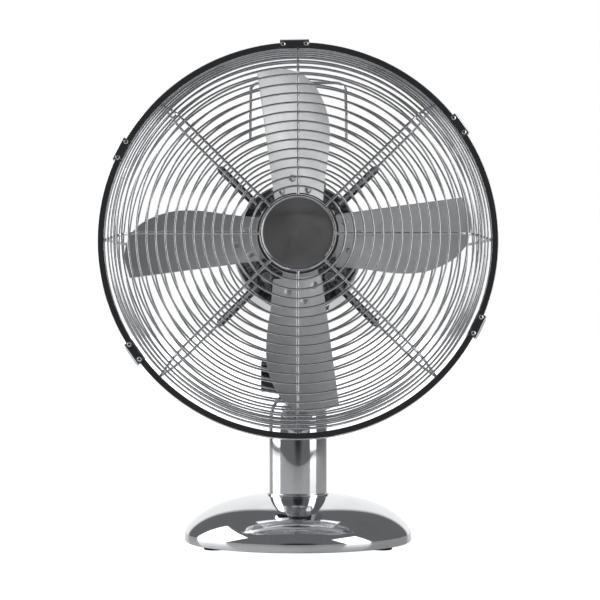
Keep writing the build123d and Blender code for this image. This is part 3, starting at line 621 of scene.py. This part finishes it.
@dataclass
class PaintShop:
    """Makes one material for each finish and frame."""

    effects: Effects
    made: dict[str, bpy.types.Material] = field(default_factory=dict)
    dust_colour: tuple[float, float, float] = (0.42, 0.40, 0.37)
    relief: float = 0.2 * MM
    plain_depth: float = 0.02

    def material(self, name: str, in_head: bool = False) -> bpy.types.Material:
        """Gives a finish's material, made at its first use.

        Args:
            name: the finish.
            in_head: True if its grain follows the head's tipped frame.

        Returns:
            The material.
        """
        key = f"{name}_head" if in_head else name
        if key not in self.made:
            self.made[key] = self.mix(FINISHES[name], key, in_head)
        return self.made[key]

    def place_group(self, tree: bpy.types.NodeTree, name: str, **values: object) -> bpy.types.ShaderNode:
        """Places a shared effect in a material.

        Args:
            tree: the material's tree.
            name: the effect.
            values: a number, a colour or a socket for each input, with _ for a space.

        Returns:
            The group's node.
        """
        node = tree.nodes.new("ShaderNodeGroup")
        node.node_tree = self.effects.groups[name]
        for label, value in values.items():
            if isinstance(value, bpy.types.NodeSocket):
                tree.links.new(value, node.inputs[label])
            elif isinstance(value, tuple):
                node.inputs[label].default_value = (*value, 1.0)
            else:
                node.inputs[label].default_value = value
        return node

    def mix(self, look: Finish, key: str, in_head: bool) -> bpy.types.Material:
        """Builds a material from a finish.

        Args:
            look: the finish.
            key: the material's name.
            in_head: True if its grain follows the head's tipped frame.

        Returns:
            The material.
        """
        material = bpy.data.materials.new(key)
        material.use_nodes = True
        tree = material.node_tree
        shader = tree.nodes["Principled BSDF"]
        where = tree.nodes.new("ShaderNodeTexCoord").outputs["Object"]
        if in_head:
            back = HEAD.inverted()
            move = tree.nodes.new("ShaderNodeMapping")
            move.inputs["Location"].default_value = back.translation
            move.inputs["Rotation"].default_value = back.to_euler()
            tree.links.new(where, move.inputs["Vector"])
            where = move.outputs["Vector"]
        mottle = self.place_group(tree, "mottle", Vector=where, Scale=look.mottle_scale, Colour=look.colour,
                                  Tint=look.tint, Smooth=look.rough[0], Rough=look.rough[1])
        colour, rough = mottle.outputs["Colour"], mottle.outputs["Roughness"]
        bump = tree.nodes.new("ShaderNodeBump")
        bump.inputs["Distance"].default_value = self.relief
        if look.grain is Grain.NONE:
            bump.inputs["Strength"].default_value = self.plain_depth
            tree.links.new(rough, bump.inputs["Height"])
        else:
            grain = self.place_group(tree, f"{look.grain.value}_grain", Vector=where,
                                     Density=look.grain_scale)
            bump.inputs["Strength"].default_value = look.grain_depth
            tree.links.new(grain.outputs["Mask"], bump.inputs["Height"])
        if look.wear:
            worn = self.place_group(tree, "edge_wear", Vector=where, Amount=look.wear)
            colour = self.effects.mix(tree, worn.outputs["Mask"], colour, look.wear_colour)
        if look.dust:
            dust = self.place_group(tree, "settled_dust", Vector=where, Amount=look.dust)
            colour = self.effects.mix(tree, dust.outputs["Mask"], colour, self.dust_colour)
        tree.links.new(colour, shader.inputs["Base Color"])
        tree.links.new(rough, shader.inputs["Roughness"])
        tree.links.new(bump.outputs["Normal"], shader.inputs["Normal"])
        shader.inputs["Metallic"].default_value = look.metallic
        shader.inputs["Anisotropic"].default_value = look.anisotropic
        shader.inputs["Coat Weight"].default_value = look.coat
        return material


@dataclass
class SubAssembly:
    """A group of pieces on one or more bodies, built and then dressed."""

    shop: PaintShop

    def add(self, made: bpy.types.Object, body: str, finish: str, replaces: Sequence[str] = (),
            in_head: bool = False) -> bpy.types.Object:
        """Dresses a piece and puts it on its body.

        Args:
            made: the piece.
            body: the CAD body it rides on.
            finish: its finish.
            replaces: the CAD nodes it stands for.
            in_head: True if its grain follows the head's frame.

        Returns:
            The same piece.
        """
        made.data.materials.clear()
        made.data.materials.append(self.shop.material(finish, in_head))
        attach(made, body)
        if replaces:
            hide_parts(*replaces)
        log.info("%s on %s in %s, for %s", made.name, body, finish, ", ".join(replaces) or "itself")
        return made


# ---------------------------------------------------------------- base and column


@dataclass
class Base(SubAssembly):
    """The domed foot with its band, rubber feet, column and bright ring."""

    sheet: float = 1.2 * MM
    band_bottom: float = 3.2 * MM
    band: float = 7.4 * MM
    rise: float = 34.4 * MM
    flatness: float = 2.85
    shoulder: float = 0.704
    foot_radius: float = 9.0 * MM

    def dome_outline(self) -> list[tuple[float, float]]:
        """Works out the dome's section.

        Returns:
            Corners of the pressed sheet, outside and then inside.
        """
        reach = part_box("base_cover")[1][0]
        shares = [math.sin(math.pi / 2 * k / 60) for k in range(61)]

        def height(share: float) -> float:
            """Gives the dome's height at a share of its reach."""
            fall = max(0.0, 1 - share ** self.flatness) ** self.shoulder
            return self.band_bottom + self.band + self.rise * fall

        outside = [(reach * s, height(s)) for s in shares]
        outside += [(reach, self.band_bottom + 0.5 * MM), (reach - 0.5 * MM, self.band_bottom)]
        inside = [((reach - self.sheet) * s, height(s) - self.sheet) for s in reversed(shares)]
        return outside + [(reach - self.sheet, self.band_bottom)] + inside

    def build(self) -> None:
        """Builds the dome, feet and column."""
        dome = turned("domed_cover", self.dome_outline(), Spin.UPRIGHT, segments=256, angle=50)
        self.add(dome, "base", "chrome", ["base_cover"])
        low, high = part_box("rubber_feet")
        r, h = self.foot_radius, high[2]
        places = [Matrix.Translation((x, y, 0))
                  for x in (low[0] + r, high[0] - r) for y in (low[1] + r, high[1] - r)]
        foot = [(4.4 * MM, 0), (r - 0.6 * MM, 0), (r, 0.6 * MM), (r - 0.3 * MM, h), (2.1 * MM, h),
                (2.1 * MM, 1.7 * MM), (4.4 * MM, 1.7 * MM)]
        feet = turned("rubber_feet_soft", foot, Spin.UPRIGHT, radius=0.3 * MM, segments=48, copies=places)
        self.add(feet, "base", "rubber", ["rubber_feet"])
        low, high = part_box("column_tube")
        r, wall = high[0], 1.5 * MM
        tube = [(r - wall, low[2]), (r, low[2]), (r, high[2]), (r - wall, high[2])]
        column = turned("column_shell", tube, Spin.UPRIGHT, radius=0.25 * MM, segments=128)
        self.add(column, "base", "chrome", ["column_tube"])
        ring = [(r + 0.05 * MM, low[2] - 0.5 * MM), (r + 1.5 * MM, low[2] - 0.6 * MM),
                (r + 1.5 * MM, low[2] + 1.2 * MM), (r + 0.05 * MM, low[2] + 1.9 * MM)]
        self.add(turned("column_ring", ring, Spin.UPRIGHT, radius=0.5 * MM, segments=128), "base", "chrome")


@dataclass
class Controls(SubAssembly):
    """The tilt knob, and the numbers of the speed dial with the pointer on the speed knob."""

    grooves: int = 12
    groove_depth: float = 1.5 * MM
    wide_part: float = 12.0 * MM
    speeds: int = 4
    number_size: float = 3.6 * MM
    number_circle: float = 13.8 * MM

    def ribbed(self, r: float, height: float, angle: float) -> float:
        """Pulls a knob's wide part in at each groove.

        Args:
            r: the plain radius.
            height: the height along the knob.
            angle: the angle round it.

        Returns:
            The radius with its grooves.
        """
        if r < self.wide_part:
            return r
        wave = abs(math.cos(self.grooves * angle / 2))
        return r - self.groove_depth * max(0.0, 1 - wave / 0.55) ** 0.8

    def build(self) -> None:
        """Builds the tilt knob, the numbers and the pointer."""
        low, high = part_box("tilt_knob")
        middle = (low[2] + high[2]) / 2
        r = (high[2] - low[2]) / 2
        x0, x1, x2 = low[0], low[0] + 15.8 * MM, high[0]
        outline = [(0, x0 + 1.2 * MM), (7 * MM, x0 + 1.2 * MM), (7.6 * MM, x0), (r, x0), (r, x1),
                   (8.5 * MM, x1), (8.5 * MM, x2), (4.05 * MM, x2), (4.05 * MM, x0 + 5 * MM),
                   (0, x0 + 5 * MM)]
        place = Matrix.Translation((0, 0, middle))
        knob = turned("tilt_knob_ribbed", outline, Spin.CROSSWISE, place, 1.0 * MM,
                      segments=240, swell=self.ribbed)
        self.add(knob, "tilt_knob", "black_plastic", ["tilt_knob"])
        self.build_dial()

    def build_dial(self) -> None:
        """Writes the speed numbers round the dial and a pointer on the knob."""
        low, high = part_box("switch_bezel")
        centre = (low[2] + high[2]) / 2
        face = high[1]
        for number in range(self.speeds):
            angle = math.radians(90 - 30 * number)
            across, up = self.number_circle * math.cos(angle), self.number_circle * math.sin(angle)
            text = bpy.data.curves.new(f"dial_number_{number}", "FONT")
            text.body = str(number)
            text.size = self.number_size
            text.extrude = 0.04 * MM
            text.align_x = "CENTER"
            text.align_y = "CENTER"
            made = bpy.data.objects.new(f"dial_number_{number}", text)
            made.location = (-across, face, centre + up)
            made.rotation_euler = (math.pi / 2, 0, math.pi)
            bpy.context.scene.collection.objects.link(made)
            self.add(made, "base", "marking")
        low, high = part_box("speed_knob")
        bm = bmesh.new()
        bar = soften([(high[1] - 0.3 * MM, centre + 2 * MM), (high[1] + 0.12 * MM, centre + 2 * MM),
                      (high[1] + 0.12 * MM, high[2] - 1.2 * MM), (high[1] - 0.3 * MM, high[2] - 1.2 * MM)],
                     0.1 * MM, closed=True, steps=2)
        extruded(bm, bar, 0.7 * MM)
        self.add(finish_mesh("speed_pointer", bm), "speed_knob", "marking")


# ---------------------------------------------------------------- cage


@dataclass
class Guard(SubAssembly):
    """One half of the wire cage: rings, spokes and its rim wire."""

    side: int = -1
    depth: float = 41.9 * MM
    inner: float = 30.5 * MM
    first: int = 0
    ring_wire: float = 0.9 * MM
    spoke_wire: float = 1.2 * MM
    rim_wire: float = 2.0 * MM
    first_ring: float = 40.6 * MM
    pitch: float = 8.1 * MM
    flat_rings: int = 12
    side_start: float = 11.3 * MM
    side_rings: int = 7
    side_pitch: float = 6.9 * MM
    corner: float = 148.1 * MM
    end: tuple[float, float] = (168.7 * MM, 1.15 * MM)
    bend: float = 24.0 * MM
    spokes: int = 8

    def path(self) -> list[Vector]:
        """Gives a spoke's centre line as (radius, y), from the hub to the rim."""
        s = self.side
        start, corner = Vector((self.inner, s * self.depth, 0)), Vector((self.corner, s * self.depth, 0))
        end = Vector((self.end[0], s * self.end[1], 0))
        turn = (corner - start).angle(end - corner)
        cut = self.bend * math.tan(turn / 2)
        begin = corner + (start - corner).normalized() * cut
        centre = begin - Vector((0, s * self.bend, 0))
        arc = []
        for k in range(25):
            a = turn * k / 24
            arc.append(centre + Vector((self.bend * math.sin(a), s * self.bend * math.cos(a), 0)))
        return [start, *arc, end]

    def beside(self, distance: float, offset: float) -> tuple[float, float]:
        """Finds a place beside the spoke.

        Args:
            distance: along the spoke from its rim end.
            offset: outwards from its centre line.

        Returns:
            Radius and y.
        """
        line = self.path()[::-1]
        left = distance
        for a, b in zip(line, line[1:]):
            step = (b - a).length
            if left <= step:
                along = (b - a).normalized()
                at = a + along * left
                return at.x + offset * abs(along.y), at.y + offset * self.side * abs(along.x)
            left -= step
        return line[-1].x, line[-1].y

    def build(self, name: str) -> None:
        """Builds one guard.

        Args:
            name: front or rear.
        """
        gap = self.spoke_wire + self.ring_wire + 0.02 * MM
        level = self.side * (self.depth + gap)
        rings = [hoop(self.first_ring + self.pitch * i, level) for i in range(self.first, self.flat_rings)]
        for i in range(self.side_rings):
            rings.append(hoop(*self.beside(self.side_start + self.side_pitch * i, gap)))
        fine = wires(f"{name}_rings", rings, self.ring_wire, HEAD, closed=True)
        self.add(fine, "head", "wire_chrome", [f"{name}_guard_rings"])
        rim = hoop(*self.beside(0.0, self.spoke_wire + self.rim_wire + 0.02 * MM), 192)
        self.add(wires(f"{name}_rim_wire", [rim], self.rim_wire, HEAD, closed=True), "head", "wire_chrome")
        spokes = []
        for i in range(self.spokes):
            spin = about_rotor(360 / self.spokes * i)
            spokes.append([spin @ Vector((p.x, p.y, 0)) for p in self.path()])
        bars = wires(f"{name}_spokes", spokes, self.spoke_wire, HEAD)
        self.add(bars, "head", "wire_chrome", [f"{name}_guard_spokes"])


@dataclass
class Trim(SubAssembly):
    """The plated band round the rim, the badge, the handle and the clips."""

    rim: float = 175.0 * MM
    lip: float = 169.2 * MM
    face: float = 7.2 * MM
    sheet: float = 0.8 * MM
    clips: tuple[tuple[float, float], ...] = (
        (91.0, 12.8), (35.5, 10.4), (334.0, 10.4), (215.0, 10.4), (153.0, 10.4))

    def build(self) -> None:
        """Builds the band, badge, handle and each clip."""
        f, s = self.face, self.sheet
        band = [(self.lip, -f), (self.rim, -f), (self.rim, f), (self.lip, f), (self.lip, f - s),
                (self.rim - s, f - s), (self.rim - s, s - f), (self.lip, s - f)]
        made = turned("rim_band", band, Spin.ROTOR, HEAD, 0.75 * MM, 288)
        self.add(made, "head", "chrome", ["trim_band"])
        self.build_badge()
        self.build_handle()
        for number, (angle, half) in enumerate(self.clips, start=1):
            self.build_clip(number, angle, half * MM)

    def build_badge(self) -> None:
        """Builds the bevel ring, the brushed disc and the dished plate behind the spokes."""
        back = -43.12 * MM
        rim = [(30.2, 0), (33.2, 0), (33.2, -3.0), (32.3, -5.2), (31.3, -5.2), (30.2, -3.7)]
        bevel = [(r * MM, back + y * MM) for r, y in rim]
        self.add(turned("badge_bevel", bevel, Spin.ROTOR, HEAD, 0.35 * MM, 160), "head", "chrome",
                 ["badge_rim"])
        disc = [(0, 0), (30.15, 0), (30.15, -3.3), (29.4, -3.5), (15, -3.85), (0, -3.95)]
        face = [(r * MM, back + y * MM) for r, y in disc]
        self.add(turned("badge_plate", face, Spin.ROTOR, HEAD, 0.25 * MM, 160), "head", "brushed",
                 ["badge_disc"], in_head=True)
        plate = [(3.0, -40.68), (35.4, -40.68), (35.4, -37.7), (33.9, -37.7), (33.9, -39.1), (3.0, -39.1)]
        self.add(turned("hub_dish", [(r * MM, y * MM) for r, y in plate], Spin.ROTOR, HEAD, 0.4 * MM, 160),
                 "head", "chrome", ["front_guard_hub_plate"])

    def build_handle(self) -> None:
        """Builds the carrying handle as one bent wire."""
        wire, half, reach = 1.5 * MM, 43.0 * MM, 22.0 * MM
        y = 38.94 * MM + wire
        left = [(-half, y, 96 * MM), (-half, y, 120 * MM), (-half, y + reach, 153 * MM)]
        right = [(-a, b, c) for a, b, c in reversed(left)]
        path = soften([*left, *right], 11 * MM, steps=12)
        self.add(wires("handle_wire", [path], wire, HEAD, sides=6), "head", "wire_chrome", ["carry_handle"])

    def build_clip(self, number: int, angle: float, half: float) -> None:
        """Builds one clip as a bent sheet with a rolled eye and two rivets.

        Args:
            number: the clip's number.
            angle: its place round the rim, in degrees.
            half: half its width.
        """
        place = HEAD @ about_rotor(angle - 90)
        pin_y, pin_z = 9.7 * MM, 176.6 * MM
        sheet = 1.0 * MM
        path = soften([(-9.9 * MM, 168.9 * MM), (-8.4 * MM, 168.9 * MM), (-8.4 * MM, 176.8 * MM),
                       (6.4 * MM, 176.8 * MM)], 1.1 * MM)
        bm = bmesh.new()
        extruded(bm, thick_line(path, sheet), half)
        tongue = [Vector((6.0 * MM, 176.8 * MM, 0)), Vector((pin_y, 176.8 * MM, 0))]
        extruded(bm, thick_line(tongue, sheet), half - 4.4 * MM)
        barrel = [(1.0 * MM, -half + 4.4 * MM), (1.9 * MM, -half + 4.4 * MM), (1.9 * MM, half - 4.4 * MM),
                  (1.0 * MM, half - 4.4 * MM)]
        turn_outline(bm, soften(barrel, 0.25 * MM, True, 3), Spin.CROSSWISE, 32,
                     at=Matrix.Translation((0, pin_y, pin_z)))
        rivet = [Vector((r * MM, -8.8 * MM - h * MM, 0)) for r, h in
                 ((0, -0.1), (2.0, -0.1), (1.95, 0.25), (1.5, 0.6), (0.8, 0.74), (0, 0.75))]
        for x in (2.6 * MM - half, half - 2.6 * MM):
            turn_outline(bm, rivet, Spin.ROTOR, 28, at=Matrix.Translation((x, 0, 173 * MM)))
        made = finish_mesh(f"clip_plate_{number}", bm, place, 40)
        bevelled(made, 0.22 * MM, 2)
        self.add(made, f"clip_{number}", "chrome", [f"rim_clip_{number}"])


# ---------------------------------------------------------------- rotor


@dataclass
class Rotor(SubAssembly):
    """Four pressed blades with their rivets, on the hub."""

    blades: int = 4
    plane: float = -4.0
    camber: float = 4.0
    half_chord: float = 46.0
    thickness: float = 1.2
    trailing: tuple = ((-19.5, 33.0), (-21.5, 45.0), (-35.2, 146.0))
    tip: tuple = ((-35.2, 146.0), (-15.0, 151.5), (4.0, 148.5))
    leading: tuple = ((22.0, 33.0), (24.0, 56.0), (28.0, 88.0), (26.5, 113.0), (17.0, 135.5), (4.0, 148.5))
    rivets: tuple = ((-5.0, 54.0), (9.0, 45.0), (-14.0, 41.0))
    across: int = 28
    along: int = 56

    def pitch(self, radius: float) -> float:
        """Gives the blade's angle to the rotor's plane, in degrees: steeper at the root."""
        return 34.0 - 14.0 * (radius - 40.0) / 110.0

    def depth(self, x: float, radius: float) -> float:
        """Gives the y of the blade's front face, in millimetres, from its twist and camber."""
        slope = math.tan(math.radians(self.pitch(radius)))
        return self.plane + slope * x + self.camber * (1 - (x / self.half_chord) ** 2)

    def sample(self, points: Sequence[tuple[float, float]], steps: int) -> list[Vector]:
        """Runs a smooth curve through points.

        Args:
            points: the places it passes.
            steps: how many equal pieces it is cut in.

        Returns:
            steps + 1 points.
        """
        fixed = [Vector((*p, 0)) for p in points]
        fixed = [2 * fixed[0] - fixed[1], *fixed, 2 * fixed[-1] - fixed[-2]]
        fine = []
        for i in range(1, len(fixed) - 2):
            a, b, c, d = fixed[i - 1:i + 3]
            for k in range(24):
                t = k / 24
                fine.append(0.5 * (2 * b + (c - a) * t + (2 * a - 5 * b + 4 * c - d) * t ** 2
                                   + (3 * b - a - 3 * c + d) * t ** 3))
        fine.append(fixed[-2])
        lengths = [0.0]
        for a, b in zip(fine, fine[1:]):
            lengths.append(lengths[-1] + (b - a).length)
        out, j = [], 0
        for k in range(steps + 1):
            goal = lengths[-1] * k / steps
            while j < len(fine) - 2 and lengths[j + 1] < goal:
                j += 1
            step = lengths[j + 1] - lengths[j]
            out.append(fine[j].lerp(fine[j + 1], (goal - lengths[j]) / step if step else 0.0))
        return out

    def blade_mesh(self, name: str) -> bpy.types.Mesh:
        """Builds one blade's sheet between its four edges.

        Args:
            name: the mesh's name.

        Returns:
            The mesh, in the head's frame, for the upright blade.
        """
        left = self.sample(self.trailing, self.along)
        right = self.sample(self.leading, self.along)
        low = self.sample((self.trailing[0], self.leading[0]), self.across)
        top = self.sample(self.tip, self.across)
        bm = bmesh.new()
        grid = []
        for j in range(self.along + 1):
            v = j / self.along
            row = []
            for i in range(self.across + 1):
                u = i / self.across
                p = (1 - u) * left[j] + u * right[j] + (1 - v) * low[i] + v * top[i]
                p -= (1 - u) * (1 - v) * low[0] + u * (1 - v) * low[-1]
                p -= (1 - u) * v * top[0] + u * v * top[-1]
                row.append(bm.verts.new(Vector((p.x, self.depth(p.x, p.y), p.y)) * MM))
            grid.append(row)
        for j in range(self.along):
            for i in range(self.across):
                bm.faces.new((grid[j][i], grid[j][i + 1], grid[j + 1][i + 1], grid[j + 1][i]))
        bmesh.ops.recalc_face_normals(bm, faces=bm.faces)
        if bm.faces[0].normal.y > 0:
            bmesh.ops.reverse_faces(bm, faces=bm.faces)
        mesh = bpy.data.meshes.new(name)
        bm.to_mesh(mesh)
        bm.free()
        mesh.shade_smooth()
        return mesh

    def build(self) -> None:
        """Builds the blades and rivets."""
        for index in range(self.blades):
            name = f"blade_sheet_{index + 1}"
            made = piece(name, self.blade_mesh(name), HEAD @ about_rotor(-360 / self.blades * index))
            solid = made.modifiers.new("sheet", "SOLIDIFY")
            solid.thickness = self.thickness * MM
            solid.offset = -1.0
            bevelled(made, 0.35 * MM, 3)
            self.add(made, "rotor", "blade", [f"fan_blade_{index + 1}"])
        self.build_rivets()

    def build_rivets(self) -> None:
        """Builds three domed rivets for each blade."""
        head = [Vector((r * MM, h * MM, 0)) for r, h in
                ((0, 5.6), (2.6, 5.6), (2.6, 4.6), (1.75, 4.4), (1.75, 0.1), (3.2, 0.1), (3.1, -0.5),
                 (2.6, -1.0), (1.6, -1.45), (0, -1.6))]
        bm = bmesh.new()
        for index in range(self.blades):
            turn = about_rotor(-360 / self.blades * index)
            for x, radius in self.rivets:
                at = Matrix.Translation(Vector((x, self.depth(x, radius), radius)) * MM)
                at = at @ Matrix.Rotation(math.radians(self.pitch(radius)), 4, "Z")
                turn_outline(bm, head, Spin.ROTOR, 32, at=turn @ at)
        self.add(finish_mesh("rivet_heads", bm, HEAD, 50), "rotor", "blade", ["blade_rivets"])


# ---------------------------------------------------------------- carried-over CAD nodes


@dataclass
class CarriedNodes(SubAssembly):
    """Every CAD node that shows as it is: each gets its finish and soft edges."""

    crisp: tuple[str, ...] = ("rotor_shaft", "worm_wheel", "crank_gear", "stator_core", "rotor_core")
    bevel: float = 0.3 * MM

    def build(self, replaced: set[str]) -> None:
        """Dresses the nodes.

        Args:
            replaced: the nodes that another piece stands for.
        """
        slots = {s["node"]: s["material_slot"] for s in frame["record"]["subparts"]}
        head_nodes = frame["record"]["behaviour"]["bodies"]["head"]
        for name, node in frame["nodes"].items():
            if name in replaced:
                continue
            material = self.shop.material(slots[name], in_head=name in head_nodes)
            node.data.materials.clear()
            node.data.materials.append(material)
            if name not in self.crisp:
                bevelled(node, self.bevel, 2)
            log.info("%s keeps its CAD shape, in %s", name, slots[name])


# ---------------------------------------------------------------- studio


@dataclass(frozen=True)
class SoftBox:
    """A soft light panel beside or above the fan."""

    name: str
    place: tuple[float, float, float]
    target: tuple[float, float, float]
    size: tuple[float, float]
    radiance: float

    def hang(self) -> None:
        """Puts the panel in the scene, seen in reflections and not by the camera."""
        light = bpy.data.lights.new(self.name, "AREA")
        light.shape = "RECTANGLE"
        light.size, light.size_y = self.size
        light.energy = self.radiance * math.pi * self.size[0] * self.size[1]
        made = bpy.data.objects.new(self.name, light)
        made.location = self.place
        toward = Vector(self.target) - Vector(self.place)
        made.rotation_euler = toward.to_track_quat("-Z", "Y").to_euler()
        made.visible_camera = False
        bpy.context.scene.collection.objects.link(made)


@dataclass
class Studio:
    """Floor, soft boxes, surround and camera."""

    shop: PaintShop
    distance: float = 2.0
    height: float = 0.240
    aim: tuple[float, float] = (0.00175, 0.2203)
    view_width: float = 0.525
    floor_glow: float = 1.1
    room: tuple[float, float, float] = (0.15, 0.15, 0.153)
    flag: tuple[float, float, float] = (0.0, -0.97, 0.24)
    flag_edges: tuple[float, float] = (0.92, 0.97)
    flag_dimming: float = 0.2
    floor_front: float = 0.72
    floor_reach: float = 4.0
    backdrop: tuple[float, float, float] = (1.0, 1.0, 1.0)
    backdrop_slope: tuple[float, float] = (1.4, 0.84)
    boxes: tuple[SoftBox, ...] = (
        SoftBox("left_box", (-1.35, 0.20, 0.75), (0, 0.1, 0.3), (1.3, 1.5), 2.6),
        SoftBox("right_box", (1.16, -0.62, 0.7), (0, 0, 0.3), (0.75, 1.4), 2.2),
        SoftBox("high_box", (0, 0.5, 2.4), (0, 0, 0), (1.6, 1.0), 1.2),
    )

    def floor(self) -> None:
        """Lays a plain pale floor that stays white to look at."""
        bm = bmesh.new()
        bmesh.ops.create_grid(bm, x_segments=8, y_segments=8, size=self.floor_reach)
        bmesh.ops.translate(bm, verts=bm.verts, vec=(0, self.floor_reach - self.floor_front, 0))
        made = finish_mesh("studio_floor", bm)
        material = self.shop.material("floor")
        made.data.materials.append(material)
        tree = material.node_tree
        shader = tree.nodes["Principled BSDF"]
        shader.inputs["Emission Color"].default_value = (1, 1, 1, 1)
        lit = tree.nodes.new("ShaderNodeMath")
        lit.operation = "MULTIPLY"
        lit.inputs[1].default_value = self.floor_glow
        tree.links.new(tree.nodes.new("ShaderNodeLightPath").outputs["Is Camera Ray"], lit.inputs[0])
        tree.links.new(lit.outputs[0], shader.inputs["Emission Strength"])

    def surround(self) -> None:
        """Makes the room: a bright backdrop behind the fan, and a dim room above and before it."""
        world = bpy.data.worlds.new("studio")
        bpy.context.scene.world = world
        world.use_nodes = True
        tree = world.node_tree
        effects = self.shop.effects
        where = tree.nodes.new("ShaderNodeTexCoord")
        apart = tree.nodes.new("ShaderNodeSeparateXYZ")
        tree.links.new(where.outputs["Generated"], apart.inputs[0])
        x, y, z = apart.outputs
        aside, above = self.backdrop_slope
        aside = effects.math(tree, "MULTIPLY", effects.math(tree, "ABSOLUTE", x), aside)
        above = effects.math(tree, "MULTIPLY", z, above)
        inside = effects.math(tree, "SUBTRACT", effects.math(tree, "SUBTRACT", y, aside), above)
        share = effects.spread(tree, inside, 0.0, 1.0, -0.06, 0.10)
        seen = tree.nodes.new("ShaderNodeLightPath").outputs["Is Camera Ray"]
        share = effects.math(tree, "MAXIMUM", share, seen)
        toward = tree.nodes.new("ShaderNodeVectorMath")
        toward.operation = "DOT_PRODUCT"
        tree.links.new(where.outputs["Generated"], toward.inputs[0])
        toward.inputs[1].default_value = self.flag
        dim = effects.spread(tree, toward.outputs["Value"], 1.0, self.flag_dimming, *self.flag_edges)
        mix = tree.nodes.new("ShaderNodeMix")
        mix.data_type = "RGBA"
        tree.links.new(share, mix.inputs[0])
        walls = tree.nodes.new("ShaderNodeCombineColor")
        for slot, tone in zip(walls.inputs, self.room):
            tree.links.new(effects.math(tree, "MULTIPLY", dim, tone), slot)
        tree.links.new(walls.outputs[0], mix.inputs[6])
        mix.inputs[7].default_value = (*self.backdrop, 1)
        tree.links.new(mix.outputs[2], tree.nodes["Background"].inputs["Color"])

    def camera(self) -> None:
        """Stands the camera in front, a little above the middle of the fan."""
        lens = bpy.data.cameras.new("camera")
        rim = HEAD.translation.y
        lens.sensor_width = 36.0
        lens.lens = 36.0 * self.distance / self.view_width
        lens.clip_start, lens.clip_end = 0.05, 50
        made = bpy.data.objects.new("camera", lens)
        made.location = (self.aim[0], rim - self.distance, self.height)
        toward = Vector((self.aim[0], rim, self.aim[1])) - made.location
        made.rotation_euler = toward.to_track_quat("-Z", "Y").to_euler()
        bpy.context.scene.collection.objects.link(made)
        bpy.context.scene.camera = made

    def build(self) -> None:
        """Builds the whole studio."""
        self.floor()
        self.surround()
        for box in self.boxes:
            box.hang()
        self.camera()
        bpy.context.scene.view_settings.view_transform = "Standard"


def main() -> None:
    logging.basicConfig(level=logging.INFO, format="%(name)s: %(message)s", stream=sys.stdout)
    effects = Effects()
    effects.build()
    shop = PaintShop(effects)
    Base(shop).build()
    Controls(shop).build()
    Guard(shop).build("front")
    Guard(shop, side=1, depth=35.9 * MM, inner=52.0 * MM, first=2, side_pitch=6.15 * MM).build("rear")
    Trim(shop).build()
    Rotor(shop).build()
    replaced = {name for name, node in frame["nodes"].items() if node.hide_render}
    CarriedNodes(shop).build(replaced)
    Studio(shop).build()


if __name__ == "__main__":
    main()
